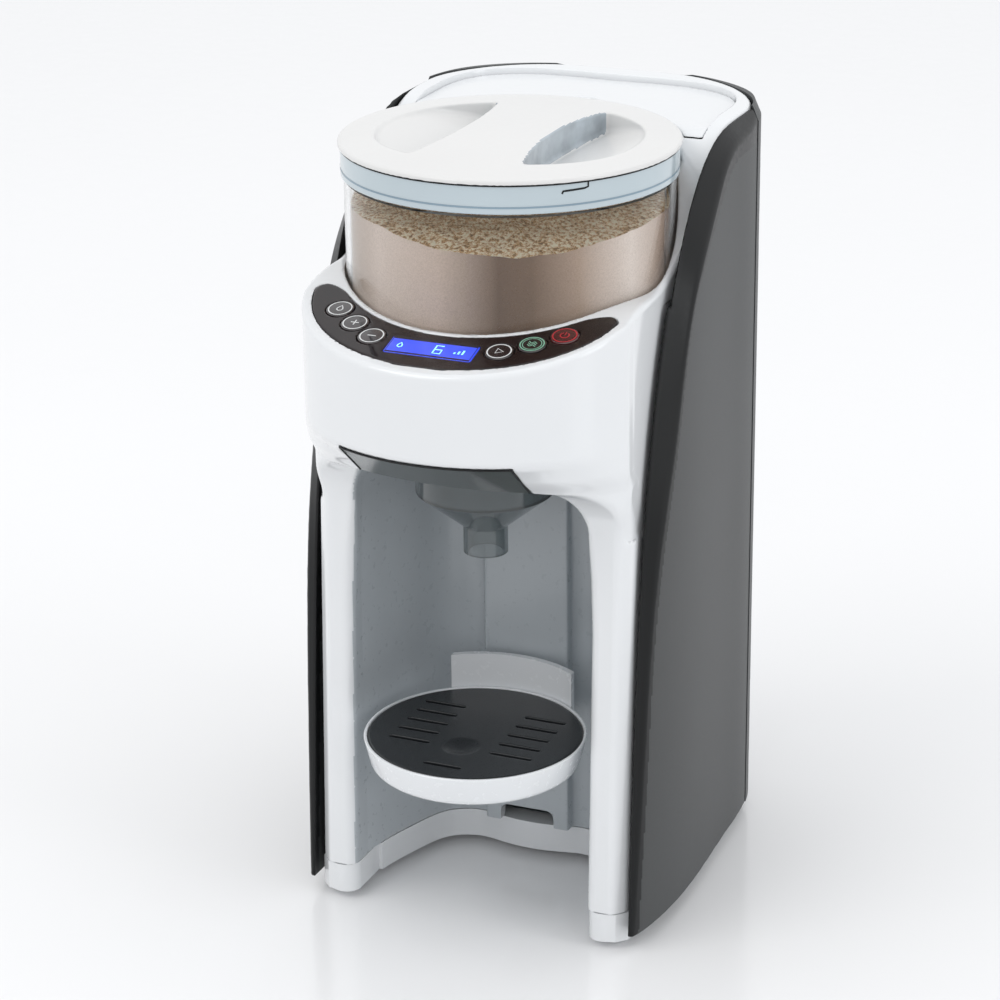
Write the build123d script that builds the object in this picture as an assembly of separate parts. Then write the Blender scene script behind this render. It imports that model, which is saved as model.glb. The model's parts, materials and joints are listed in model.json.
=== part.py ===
from build123d import *
import math
import os

# Counter-top infant formula maker, in millimetres. +Z is up and -Y is the front.
# Everything is drawn about the powder hopper's vertical axis, x = y = 0, with the
# table at z = 0. save() then shifts it so that the origin is the bottom centre.

os.makedirs("parts", exist_ok=True)

# Driving dimensions
LID_RADIUS = 75.0
TOP_Z = 356.0              # rim of the rear deck
REAR_Y = 143.0             # back of the machine
FRONT_Y = -106.0           # front of the hood
SHIFT_Y = -(REAR_Y + FRONT_Y) / 2
HALF_WIDTH = 76.0          # white body
OUTER_HALF = 87.0          # dark side panels at their widest
SKIN = 2.8                 # moulded wall
GAP = 0.4                  # clearance between parts that move

FOOT_HEIGHT = 4.0
BASE_TOP = 17.8
HOOD_BOTTOM = 223.0        # underside of the hood
HOOD_BREAK = 241.0         # where the hood's chin meets its front face
HOOD_Y = -42.0             # centre of the hood's front ellipse
HOOD_A = 75.5
HOOD_B = HOOD_Y - FRONT_Y
CHIN_B = 39.0              # ellipse depth at the bottom of the chin
LEG_FRONT_Y = -50.0        # front of the legs under the hood
LEG_TOE_Y = -57.0          # front of the legs at the foot
FILLET_UNDER_HOOD = 28.0
BAY_HALF = 55.5
BAY_CORNER = 28.0

PANEL_TILT = 15.0          # control panel, degrees
PANEL_Z = 284.6            # its height at PANEL_Y
PANEL_Y = -91.5
SHOULDER_Z = 297.5         # white rim beside the hopper

CONTAINER_R = 72.6
CONTAINER_WALL = 2.2
CONTAINER_FLOOR_Z = 266.0
CONTAINER_TOP_Z = 352.0
NECK_R = 70.6
NECK_Z = 343.0
RING_R = 74.0
RING_WALL = 1.3
RING_Z = 344.5
CAP_Z = 353.4
CAP_EDGE_Z = 355.0
CAP_TOP_Z = 357.1
CAP_CROWN_Z = 360.5
WELL_R = 76.0              # white wall round the lid
SEAT_R = 74.4              # outside of the seat ring round the hopper
OUTLET_Y = -31.5           # powder outlet, chute, funnel and spout axis
OUTLET_R = 8.0

GEAR_MODULE = 1.5
SPINDLE_TEETH = 24
IDLER_TEETH = 12
PINION_TEETH = 12
GEAR_Z = 248.0
GEAR_THICK = 6.0
IDLER_Y = GEAR_MODULE * (SPINDLE_TEETH + IDLER_TEETH) / 2
PINION_Y = IDLER_Y + GEAR_MODULE * (IDLER_TEETH + PINION_TEETH) / 2

TRAY_Y = -45.9
TRAY_Z = 92.0
TRAY_R = 50.5
TRAY_DEPTH = 15.0
GRILLE_R = 48.5

TANK_LID_Z = 353.0
TANK_LID_THICK = 3.0
TANK_FLOOR_Z = 132.0
TANK_WALL = 2.0

PANEL_BED = 5.2            # hood top under the control panel
SEAM_Y = -14.0             # joint between front shell and top deck
SEAM_Z = 291.5
DISPLAY_Y = -86.2
DOSER_R = 60.0
STIRRER_R = 56.0
VALVE_Y = 104.0
NOZZLE_Y = -10.0
RAIL_HALF = 21.0
RAIL_Y = 13.4
SLOT_TOPS = [26.6, 65.0, 104.0]     # tray hook slots in the back wall
SLOT_HALF = 13.4
CLAD_X = 78.0              # inside of the dark cladding
CLAD_REAR = 92.0
VENT_Z = 60.0
VENT_ROWS = 7
INLET_Z = 32.0
SCREW_SPOTS = [(-72, 0), (72, 0), (-72, 60), (72, 60)]
WING = [(-15, 299), (4.4, 308), (22, 325), (40, 344), (62, 354.5), (76, TOP_Z)]
BUTTON_R = 6.25
BUTTON_SPOTS = [(52.0, -65.6), (40.9, -74.5), (29.3, -82.4)]


def save(name, shape):
    """Writes one node, shifted from the hopper's axis to the part's origin."""
    solids = [s.moved(Location((0, SHIFT_Y, 0))) for s in shape.solids()]
    export_step(solids[0] if len(solids) == 1 else Compound(children=solids), f"parts/{name}.step")


def block(x0, x1, y0, y1, z0, z1):
    size = (x1 - x0, y1 - y0, z1 - z0)
    return Pos((x0 + x1) / 2, (y0 + y1) / 2, (z0 + z1) / 2) * Box(*size)


def rod(x, y, radius, z0, z1):
    return Pos(x, y, (z0 + z1) / 2) * Cylinder(radius, z1 - z0)


def ring(x, y, outer, inner, z0, z1):
    return rod(x, y, outer, z0, z1) - rod(x, y, inner, z0 - 1, z1 + 1)


def bar_x(y, z, radius, x0, x1):
    """A round bar along X."""
    return Pos((x0 + x1) / 2, y, z) * Rot(0, 90, 0) * Cylinder(radius, x1 - x0)


def bar_y(x, z, radius, y0, y1):
    """A round bar along Y."""
    return Pos(x, (y0 + y1) / 2, z) * Rot(90, 0, 0) * Cylinder(radius, y1 - y0)


def prism(edges, z0, z1):
    """Closed plan outline, raised from z0 to z1."""
    return Pos(0, 0, z0) * extrude(make_face(edges), z1 - z0, dir=(0, 0, 1))


def side_prism(edges, x0, x1):
    """Closed outline in (y, z), extruded from x0 to x1."""
    face = Plane.YZ * make_face(edges)
    return Pos(x0, 0, 0) * extrude(face, x1 - x0, dir=(1, 0, 0))


def both(shape):
    """A shape and its mirror image on the other side."""
    return shape + mirror(shape, about=Plane.YZ)


def hex_bar(across, z0, z1):
    return Pos(0, 0, z0) * extrude(RegularPolygon(across / 2, 6, major_radius=False), z1 - z0)


# ---------------------------------------------------------------- outlines

def hood_edges(a, b, back):
    """Half ellipse in front, straight sides back to y = back."""
    front = EllipticalCenterArc((0, HOOD_Y), a, b, 180, arc_size=180)
    sides = Polyline((a, HOOD_Y), (a, back), (-a, back), (-a, HOOD_Y))
    return front + sides


def deck_edges(inset, front):
    """Outline of the rear deck: straight sides and a bowed back with large round corners."""
    half, rear = 79.0 - inset, 140.3 - inset
    right = Spline(
        (half, 86), (67.5 - inset * 0.75, 115 - inset * 0.7), (40 - inset * 0.3, rear - 4.8), (0, rear),
        tangents=((0, 1), (-1, 0)),
    )
    left = mirror(right, about=Plane.YZ)
    return right + left + Polyline((-half, 86), (-half, front), (half, front), (half, 86))


def outer_edges(inset):
    """Outline of the dark side panels and the rear panel."""
    right = Spline(
        (82.8 - inset, -56), (OUTER_HALF - inset, -15), (84.5 - inset, 60), (72 - inset * 0.8, 119 - inset * 0.6),
        (45 - inset * 0.2, 138 - inset), (0, REAR_Y - inset),
        tangents=((0.12, 1), (-1, 0)),
    )
    left = mirror(right, about=Plane.YZ)
    return right + left + Polyline((-82.8 + inset, -56), (-82.8 + inset, -58), (82.8 - inset, -58), (82.8 - inset, -56))


def bay_space(inset, front, z0, z1):
    """Bottle bay: walls that close in towards a bowed back wall. inset widens it."""
    right = Spline(
        (57.4 + inset, -42), (54.6 + inset, -23.8), (48.3 + inset, -3.3), (38.2 + inset, 15.2 + inset * 0.7),
        (29.5, 19.2 + inset), (0, 16.3 + inset),
        tangents=((-0.1, 1), (-1, 0)),
    )
    left = mirror(right, about=Plane.YZ)
    half = 57.4 + inset
    mouth = Polyline((-half, -42), (-half, -130), (half, -130), (half, -42))
    return prism(right + left + mouth, z0, z1) & block(-90, 90, front, 60, z0, z1)


SWEEP = [(-57, 9), (-51, 90), (-42.7, 177), (-30.4, 242), (-11.9, 295), (12, 333), (34, 350), (62, TOP_Z)]
BEVEL = [(-57, 9), (-51, 90), (-42.5, 177), (-20, 242), (-1.5, 295), (27, 323.5), (46, 338), (66, 343)]


def swept_edges(points, rear, bottom):
    """Side view of a panel: the sweeping front and top edge, then straight back and bottom."""
    last = points[-1]
    sweep = Spline(*points, tangents=((0.07, 1), (1, 0)))
    corners = [last, (rear, last[1]), (rear, bottom), (points[0][0], bottom)]
    if bottom < points[0][1]:
        corners.append(points[0])
    return sweep + Polyline(*corners)


# ---------------------------------------------------------------- white body

def top_cut(drop):
    """All that lies above the control panel's plane and the shoulders beside the hopper."""
    panel_front = PANEL_Z + math.tan(math.radians(PANEL_TILT)) * (-120 - PANEL_Y) - drop
    panel_back = PANEL_Z + math.tan(math.radians(PANEL_TILT)) * (-44 - PANEL_Y) - drop
    outline = Polyline(
        (-120, panel_front), (-44, panel_back), (-15, SHOULDER_Z + 1.5 - drop), (170, SHOULDER_Z + 1.5 - drop),
        (170, 420), (-120, 420), (-120, panel_front),
    )
    return side_prism(outline, -100, 100)


def hood_mass(inset, drop):
    """Solid hood: upright front face, sloping chin, and a flat top plane."""
    a, b = HOOD_A - inset, HOOD_B - inset
    upper = prism(hood_edges(a, b, 60), HOOD_BREAK, 320)
    low = Pos(0, 0, HOOD_BOTTOM) * make_face(hood_edges(a, CHIN_B - inset, 60))
    high = Pos(0, 0, HOOD_BREAK) * make_face(hood_edges(a, b, 60))
    chin = loft([low, high], ruled=True)
    return upper + chin - top_cut(drop)


def under_hood():
    """Material between the hood and the legs: a large concave fillet, seen from the side."""
    centre_y, centre_z = LEG_FRONT_Y - FILLET_UNDER_HOOD, HOOD_BOTTOM - FILLET_UNDER_HOOD
    web = block(-HOOD_A, HOOD_A, centre_y, -20, centre_z, HOOD_BOTTOM)
    web -= bar_x(centre_y, centre_z, FILLET_UNDER_HOOD, -100, 100)
    return web & prism(hood_edges(HOOD_A, CHIN_B, 0), centre_z - 1, HOOD_BOTTOM)


def legs():
    """Two legs with round noses that lean forward towards the foot."""
    nose_x, nose_r, nose_back = 64.4, 7.0, -38.0
    top = HOOD_BOTTOM - FILLET_UNDER_HOOD
    faces = []
    for y, z in ((LEG_TOE_Y + nose_r, BASE_TOP + 0.3), (LEG_FRONT_Y + nose_r, top)):
        arc = CenterArc((nose_x, y), nose_r, 180, 110)
        end = arc @ 1
        tail = Polyline(end, (HALF_WIDTH - 4.5, y - 5.2), (HALF_WIDTH, y - 0.5), (HALF_WIDTH, nose_back),
                        (nose_x - nose_r, nose_back), (nose_x - nose_r, y))
        faces.append(Pos(0, 0, z) * make_face(arc + tail))
    lower = loft(faces, ruled=True)
    upper = extrude(faces[1], HOOD_BOTTOM - top + 1, dir=(0, 0, 1))
    return both(lower + upper)


def chin_mass(inset):
    """Ruled cone between the hood's front face and its underside."""
    low = Pos(0, 0, HOOD_BOTTOM) * make_face(hood_edges(HOOD_A - inset, CHIN_B - inset, 0))
    high = Pos(0, 0, HOOD_BREAK) * make_face(hood_edges(HOOD_A - inset, HOOD_B - inset, 0))
    return loft([low, high], ruled=True)


def front_shell():
    shell = hood_mass(0, 0) - hood_mass(SKIN, PANEL_BED)
    shell -= block(-HOOD_A + SKIN, HOOD_A - SKIN, 0, 70, HOOD_BOTTOM - 1, 330)
    shell += both(block(HALF_WIDTH - SKIN, HALF_WIDTH, -40, 96, BASE_TOP + 0.3, SEAM_Z))
    shell -= rod(0, 0, SEAT_R + 0.3, HOOD_BREAK + 8, 330)
    shell -= block(-90, 90, SEAM_Y, 120, SEAM_Z, 330)
    shell += under_hood() + legs()
    mouth = bay_space(0, -130, 0, HOOD_BOTTOM - BAY_CORNER)
    arch = Pos(0, -20, 0) * Rot(90, 0, 0) * extrude(
        Pos(0, HOOD_BOTTOM - 60) * RectangleRounded(2 * BAY_HALF, 120, BAY_CORNER), 60, both=True)
    shell -= mouth + (arch & block(-90, 90, -130, 14, 150, HOOD_BOTTOM + 1))
    shell -= bay_space(3.2, -37.8, 10, HOOD_BOTTOM + 2.4)
    shell -= block(-40.2, 40.2, -120, -36, HOOD_BOTTOM - 4, HOOD_BREAK - 0.2)
    shell -= crescent_plate(GAP / 2, 0, 2.5, grow_top=20)
    for spot in panel_spots():
        shell -= spot * Pos(0, 0, -5) * Cylinder(3.2, 12)
    return shell - panel_point(0, DISPLAY_Y) * Pos(0, 0, -5) * Box(41, 13, 12)


def crescent_plate(clearance, top, thickness, grow_top=0.0):
    """Crescent between the hopper and the hood's edge, lying on the tilted panel plane."""
    outer = Pos(0, -44) * Ellipse(71 + clearance, 56 + clearance)
    inner = Pos(0, 2) * Circle(77.6 - clearance)
    crescent = Pos(0, 0, 240) * extrude(outer - inner, 90, dir=(0, 0, 1))
    low, high = -top - thickness, -top + grow_top
    slab = panel_point(0, PANEL_Y) * Pos(0, 20, (low + high) / 2) * Box(180, 140, high - low)
    return crescent & slab & block(-90, 90, -120, -46.5 + clearance, 200, 330)


def panel_point(x, y):
    """Plane on the control panel's surface above (x, y), its z axis out of the panel."""
    tilt = math.radians(PANEL_TILT)
    z = PANEL_Z + math.tan(tilt) * (y - PANEL_Y)
    return Plane((x, y, z), x_dir=(1, 0, 0), z_dir=(0, -math.sin(tilt), math.cos(tilt)))


def panel_spots():
    return [panel_point(side * x, y) for side in (-1, 1) for x, y in BUTTON_SPOTS]


def slot_cut():
    """Arched slots for the tray's hook."""
    corner = 4.0
    cuts = None
    for top in SLOT_TOPS:
        slot = block(-SLOT_HALF, SLOT_HALF, 8, 30, top - 14, top - corner)
        slot += block(corner - SLOT_HALF, SLOT_HALF - corner, 8, 30, top - corner, top)
        slot += both(bar_y(SLOT_HALF - corner, top - corner, corner, 8, 30))
        cuts = slot if cuts is None else cuts + slot
    return cuts


def base_edges():
    """Base outline: like the deck's behind, with two round toes in front."""
    half = HALF_WIDTH
    right = Spline((half, 86), (65.5, 113), (40, 132), (0, 137), tangents=((0, 1), (-1, 0)))
    toe = CenterArc((64.4, -50), 7, 180, 110)
    side = Polyline(toe @ 1, (half - 4.5, -55.2), (half, -50.5), (half, 86))
    edges = right + toe + side + Line((57.4, -50), (57.4, -30))
    return edges + mirror(edges, about=Plane.YZ) + Line((57.4, -30), (-57.4, -30))


def above_wing():
    """Everything above the white wing that rises from the shoulder to the rear deck."""
    rise = Spline(*WING, tangents=((1, 0.1), (1, 0)))
    over = Polyline(WING[-1], (WING[-1][0], 420), (-150, 420), (-150, WING[0][1]), WING[0])
    return side_prism(rise + over, -100, 100)


def recess_edges(inset, front):
    """Shallow recess in the rear deck, which the tank's lid fills."""
    half = 70.5 - inset
    right = Spline(
        (half, 86), (62 - inset * 0.8, 113.5 - inset * 0.6), (43 - inset * 0.4, 125 - inset * 0.9), (0, 127 - inset),
        tangents=((0, 1), (-1, 0)),
    )
    return right + mirror(right, about=Plane.YZ) + Polyline((-half, 86), (-half, front), (half, front), (half, 86))


def top_deck():
    deck = prism(deck_edges(0, SEAM_Y + 0.2), SEAM_Z + 0.2, TOP_Z)
    deck -= prism(deck_edges(3, SEAM_Y - 20), SEAM_Z - 10, TANK_LID_Z - 4)
    wall = ring(0, 0, WELL_R + 2.4, SEAT_R, SEAM_Z + 0.2, TANK_LID_Z - 3)
    deck += wall & block(-90, 90, SEAM_Y + 0.2, 100, 200, 400) & prism(deck_edges(0, SEAM_Y), 200, 400)
    deck -= rod(0, 0, SEAT_R + 0.3, 200, 400) + rod(0, 0, WELL_R, RING_Z - 3, 400)
    deck -= prism(recess_edges(0, 24), TANK_LID_Z, TOP_Z + 5)
    deck -= tank_space(-0.5, 250, TOP_Z + 5)
    return deck - above_wing()


def tank_space(inset, z0, z1):
    """Space behind the hopper that the tank and its lid fill, from z0 to z1."""
    return prism(recess_edges(inset, 50 + inset), z0, z1) - rod(0, 0, 80 + inset, z0 - 1, z1 + 1)


def clad_solid():
    """Right-hand cladding: flat inside, curved outside, with a bevel along its swept edge."""
    inner = Pos(CLAD_X, 0, 0) * (Plane.YZ * make_face(swept_edges(SWEEP, CLAD_REAR, SWEEP[0][1])))
    slab = extrude(inner, 2, dir=(1, 0, 0))
    near = Pos(2, 0, 0) * inner
    far = Pos(OUTER_HALF + 0.2, 0, 0) * (Plane.YZ * make_face(swept_edges(BEVEL, CLAD_REAR, BEVEL[0][1])))
    clad = (slab + loft([near, far], ruled=True)) & prism(outer_edges(0), 5, 360)
    return clad - prism(deck_edges(-GAP, -80), SEAM_Z, 400)


def build_cladding():
    clad = clad_solid()
    core = side_prism(swept_edges(BEVEL, 150, -20), 70, 95)
    frame_points = [(y + 16, max(z - 16, 16)) for y, z in SWEEP]
    pocket = side_prism(swept_edges(frame_points, CLAD_REAR - 8, 16), 60, 95) & prism(outer_edges(3), 10, 350)
    panel, trim = (clad & core) - pocket, clad - core - pocket
    save("side_panel_right", panel)
    save("edge_trim_right", trim)
    save("side_panel_left", mirror(panel, about=Plane.YZ))
    save("edge_trim_left", mirror(trim, about=Plane.YZ))

    z_low, z_bevel = SWEEP[0][1], TOP_Z - 7
    back = prism(outer_edges(0), z_low, z_bevel)
    top = loft([Pos(0, 0, z_bevel) * make_face(outer_edges(0)), Pos(0, 0, TOP_Z) * make_face(outer_edges(3))], ruled=True)
    back = (back + top) & block(-95, 95, CLAD_REAR + 0.2, 160, 0, 400)
    back -= prism(outer_edges(3.2), 0, TOP_Z - 8)
    back -= prism(deck_edges(-GAP, 0), 200, 400)
    back -= block(-13.4, 13.4, 120, 160, INLET_Z - 9.4, INLET_Z + 9.4)
    for row in range(VENT_ROWS):
        back -= block(-26, 26, 120, 160, VENT_Z + 9 * row, VENT_Z + 9 * row + 3)
    save("rear_panel", back)


def build_body():
    save("front_shell", front_shell())
    save("top_deck", top_deck())

    liner = bay_space(2.6, -37.4, BASE_TOP + 0.3, HOOD_BOTTOM - 0.6) - bay_space(0, -60, 0, 300)
    save("bay_liner", liner - slot_cut())
    ceiling = bay_space(2.6, -37.4, HOOD_BOTTOM - 0.3, HOOD_BOTTOM + 1.7)
    save("bay_ceiling", ceiling - block(-33, 33, -60, 2, 200, 260))
    rail = block(-RAIL_HALF, RAIL_HALF, RAIL_Y, 30, BASE_TOP + 0.3, 190) & bay_space(-0.1, -60, 0, 300)
    save("tray_rail", rail - slot_cut())

    base = prism(base_edges(), FOOT_HEIGHT, BASE_TOP)
    base -= block(-68, 68, 28, 108, FOOT_HEIGHT + 3, BASE_TOP + 1)
    base -= bay_space(0, -80, 0, 40)
    screws = None
    for x, y in SCREW_SPOTS:
        base -= rod(x, y, 2.8, 0, FOOT_HEIGHT + 2.6) + rod(x, y, 1.4, 0, BASE_TOP + 1)
        screw = rod(x, y, 2.6, FOOT_HEIGHT + 0.8, FOOT_HEIGHT + 2.6) + rod(x, y, 1.35, FOOT_HEIGHT + 2.6, BASE_TOP)
        screws = screw if screws is None else screws + screw
    save("base", base)
    save("base_screws", screws)
    save("feet", both(rod(66.5, -44, 6, 0, FOOT_HEIGHT) + rod(62, 100, 8, 0, FOOT_HEIGHT)))


def build_controls():
    fascia = crescent_plate(0, 0, 2.4)
    for spot in panel_spots():
        fascia -= spot * Cylinder(BUTTON_R + GAP, 12)
    fascia -= panel_point(0, DISPLAY_Y) * Box(40.4, 12.4, 12)
    save("control_fascia", fascia)
    lens = panel_point(0, DISPLAY_Y) * Pos(0, 0, -0.9) * Box(40, 12, 1.8)
    save("display_lens", lens)
    module = panel_point(0, DISPLAY_Y) * Pos(0, 0, -4.9) * Box(40, 12, 6)
    save("display_module", module)
    board = crescent_plate(-7, 8, 1.6) & block(-54, 54, -120, -52, 200, 330)
    save("control_board", board)
    names = ["outer_left", "mid_left", "inner_left", "outer_right", "mid_right", "inner_right"]
    for name, spot in zip(names, panel_spots()):
        cap = spot * Pos(0, 0, -0.55) * Cylinder(BUTTON_R, 1.9)
        stem = spot * Pos(0, 0, -4.35) * Cylinder(2.4, 5.7)
        save("button_" + name, cap + stem)


def gear(teeth, bore, x, y, turn):
    """Spur gear with straight-sided teeth and running backlash."""
    pitch_r = GEAR_MODULE * teeth / 2
    root, tip = pitch_r - 1.25 * GEAR_MODULE, pitch_r + 0.95 * GEAR_MODULE
    points = []
    for tooth in range(teeth):
        for radius, part in ((root, -0.27), (tip, -0.12), (tip, 0.12), (root, 0.27)):
            angle = math.radians(turn + (tooth + part) * 360 / teeth)
            points.append((radius * math.cos(angle), radius * math.sin(angle)))
    blank = Pos(0, 0, GEAR_Z) * extrude(make_face(Polyline(*points, close=True)), GEAR_THICK)
    return Pos(x, y, 0) * (blank - rod(0, 0, bore, 200, 300))


def build_drive():
    case = block(-22.5, 22.5, -21.6, 60, 243, 258.4) - block(-20.8, 20.8, -20.2, 58.4, 244.6, 256.8)
    case -= rod(0, 0, 5.06, 250, 260) + rod(0, 0, 3.06, 240, 250) + rod(0, PINION_Y, 3.2, 240, 250)
    case -= rod(0, IDLER_Y, 2.5, 240, 260)
    save("gear_case", case)
    save("idler_pin", rod(0, IDLER_Y, 2.5, 243, 258.4))
    save("dosing_motor", rod(0, PINION_Y, 13, 200, 242.8) + rod(0, PINION_Y, 4, 196, 200))
    spindle = rod(0, 0, 3, 243.4, GEAR_Z) + rod(0, 0, 5, GEAR_Z, 262) + hex_bar(8, 262, 274)
    save("drive_spindle", spindle)
    save("spindle_gear", gear(SPINDLE_TEETH, 5, 0, 0, 90))
    save("idler_gear", gear(IDLER_TEETH, 2.56, 0, IDLER_Y, 15))
    save("motor_pinion", gear(PINION_TEETH, 2.5, 0, PINION_Y, 0))
    save("motor_shaft", rod(0, PINION_Y, 2.5, 242.9, 255.5))


def build_hopper():
    inner = CONTAINER_R - CONTAINER_WALL
    floor_top = CONTAINER_FLOOR_Z + 2.5
    profile = Polyline(
        (8.68, CONTAINER_FLOOR_Z), (CONTAINER_R - 1.5, CONTAINER_FLOOR_Z), (CONTAINER_R, CONTAINER_FLOOR_Z + 3),
        (CONTAINER_R, NECK_Z - 1.5), (NECK_R, NECK_Z), (NECK_R, CONTAINER_TOP_Z),
        (NECK_R - CONTAINER_WALL, CONTAINER_TOP_Z), (NECK_R - CONTAINER_WALL, NECK_Z - 1), (inner, NECK_Z - 3),
        (inner, floor_top), (8.68, floor_top), (8.68, CONTAINER_FLOOR_Z),
    )
    jar = revolve(Plane.XZ * make_face(profile), Axis.Z)
    jar -= rod(0, OUTLET_Y, OUTLET_R, 260, 270)
    lug = (ring(0, 0, NECK_R + 1.5, NECK_R - 0.5, 348, 350)) & block(0, 90, -6, 6, 340, 360)
    for quarter in range(4):
        jar += Rot(0, 0, 45 + 90 * quarter) * lug
    save("powder_container", jar)

    wheel = rod(0, 0, DOSER_R, floor_top + 0.5, floor_top + 6.5) + rod(0, 0, 8.6, 263, floor_top + 1)
    wheel += hex_bar(7, floor_top + 6, 294)
    wheel -= hex_bar(8.8, 262, 274.3)
    for pocket in range(8):
        angle = math.radians(45 * pocket + 22.5)
        wheel -= rod(OUTLET_Y * math.cos(angle), OUTLET_Y * math.sin(angle), 6.5, 260, 290)
    save("dosing_wheel", wheel)

    scraper_z = floor_top + 7
    scraper = rod(0, 0, 69.8, scraper_z, scraper_z + 1.6) + ring(0, 0, 69.8, DOSER_R + 2, floor_top, scraper_z)
    scraper -= rod(0, 0, 13, 260, 300)
    save("scraper", scraper & block(-80, 80, -80, -8, 200, 300))

    stirrer = rod(0, 0, 8.5, scraper_z + 2, 296) - hex_bar(7.5, 260, 300)
    for arm in range(4):
        spoke = block(7, STIRRER_R, -2, 2, scraper_z + 3, scraper_z + 7)
        finger = rod(STIRRER_R - 3 if arm % 2 else STIRRER_R - 22, 0, 2, scraper_z + 6, 300)
        stirrer += Rot(0, 0, 90 * arm) * (spoke + finger)
    save("stirring_wheel", stirrer)

    heap = Spline((69.9, 325), (45, 331), (0, 333), tangents=((-1, 0.4), (-1, 0)))
    bed = Polyline(
        (0, 333), (0, 303), (STIRRER_R + 1.5, 303), (STIRRER_R + 1.5, scraper_z + 2.2), (69.9, scraper_z + 2.2),
        (69.9, 325),
    )
    save("formula_powder", revolve(Plane.XZ * make_face(heap + bed), Axis.Z))


def build_lid():
    save("lid_gasket", ring(0, 0, 71.5, 67.5, CONTAINER_TOP_Z + 0.05, CAP_Z - 0.05))
    rise = CAP_CROWN_Z - CAP_TOP_Z
    crown_r = (LID_RADIUS ** 2 + rise ** 2) / (2 * rise)
    cap = rod(0, 0, LID_RADIUS, CAP_EDGE_Z, CAP_CROWN_Z + 1) & (Pos(0, 0, CAP_CROWN_Z - crown_r) * Sphere(crown_r))
    cap += rod(0, 0, LID_RADIUS - 2.6, CAP_Z, CAP_EDGE_Z)
    scoop_deep, scoop_shallow = 346.5, 358.6
    for side in (1, -1):
        edge = ThreePointArc((26 * side, -48), (20 * side, 0), (26 * side, 48))
        rim = ThreePointArc((26 * side, 48), (60 * side, 0), (26 * side, -48))
        plan = make_face(edge + rim)
        cap += Pos(0, 0, scoop_deep - 2) * extrude(offset(plan, 2), CAP_Z - scoop_deep + 3, dir=(0, 0, 1))
        slope = Polyline((15 * side, scoop_deep - 1), (62 * side, scoop_shallow), (62 * side, 380), (15 * side, 380),
                         close=True)
        wedge = extrude(Plane.XZ * make_face(slope), 80, both=True)
        cap -= (Pos(0, 0, 300) * extrude(plan, 80, dir=(0, 0, 1))) & wedge
    save("lid_cap", cap)
    collar = ring(0, 0, RING_R, RING_R - RING_WALL, RING_Z, CAP_EDGE_Z)
    lug = ring(0, 0, RING_R - 0.5, RING_R - 2.9, 345.2, 347.2) & block(0, 90, -6, 6, 340, 360)
    for quarter in range(4):
        collar += Rot(0, 0, 67 + 90 * quarter) * lug
    save("lid_ring", collar)


def build_seat():
    seat = rod(0, 0, SEAT_R, 262.4, CONTAINER_FLOOR_Z - 0.1) - rod(0, 0, 11, 250, 280)
    seat -= rod(0, OUTLET_Y, 10.2, 250, 280)
    seat += ring(0, 0, SEAT_R, CONTAINER_R + 0.6, 262.4, 320)
    save("hopper_seat", seat - top_cut(0))
    chute = ring(0, OUTLET_Y, 9.8, 8.2, 236, CONTAINER_FLOOR_Z - 0.3) + ring(0, OUTLET_Y, 13, 9, 258.8, 262.2)
    save("powder_chute", chute - block(-20, 20, -21, 0, 200, 263))


def build_water():
    lid_bottom = TANK_LID_Z - TANK_LID_THICK
    tank = tank_space(3.5, TANK_FLOOR_Z, lid_bottom - 0.1)
    tank -= tank_space(3.5 + TANK_WALL, TANK_FLOOR_Z + TANK_WALL, 400)
    save("water_tank", tank - rod(0, VALVE_Y, 2.58, 120, 140))

    lid = tank_space(0, lid_bottom, TANK_LID_Z)
    lid += tank_space(6, lid_bottom - 7, lid_bottom) - tank_space(8, lid_bottom - 8, lid_bottom)
    lid -= Pos(0, 86, TANK_LID_Z) * Cylinder(7, 3)
    save("tank_lid", lid)

    save("tank_valve", ring(0, VALVE_Y, 8, 2.58, 124.5, TANK_FLOOR_Z))
    save("valve_plunger", rod(0, VALVE_Y, 2.5, 121, 136) + rod(0, VALVE_Y, 5, 136, 138))
    socket = ring(0, VALVE_Y, 12, 8.5, 116, 131) + rod(0, VALVE_Y, 12, 114, 118) + rod(0, VALVE_Y, 2, 118, 120.8)
    save("valve_socket", socket)

    save("water_pump", block(20, 52, 30, 60, 34, 66) + rod(36, 45, 13, 66, 100))
    save("heater", block(-54, -16, 30, 58, 130, 196) + rod(-26, 44, 5, 196, 204) + rod(-44, 44, 5, 122, 130))
    save("power_board", block(-56, 4, 34, 35.6, 30, 110) + block(-50, -24, 35.6, 54, 40, 70))
    save("water_nozzle", ring(0, NOZZLE_Y, 5.5, 1.8, 231, 242.8))
    route = [(-26, 44, 204.3), (-26, 44, 236), (-26, NOZZLE_Y, 236), (-5.7, NOZZLE_Y, 236)]
    save("outlet_hose", hose(route, 3.2))
    save("feed_hose", hose([(0, VALVE_Y, 113.8), (0, VALVE_Y, 80), (36, VALVE_Y, 80), (36, 60, 80)], 3.2))


def hose(points, radius):
    """Straight runs with round elbows between them."""
    radii = [6.0] * (len(points) - 2)
    path = FilletPolyline(*points, radius=radii)
    section = Plane(path @ 0, z_dir=path % 0) * Circle(radius)
    return sweep(section, path)


def build_inlet():
    body = block(-13, 13, 122, 142, INLET_Z - 9, INLET_Z + 9)
    cavity = block(-4.2, 4.2, 127, 150, INLET_Z - 4, INLET_Z + 4) + both(bar_y(4.2, INLET_Z, 4, 127, 150))
    body -= cavity
    save("power_inlet", body + both(bar_y(4.4, INLET_Z, 1.2, 126, 138)))


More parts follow.
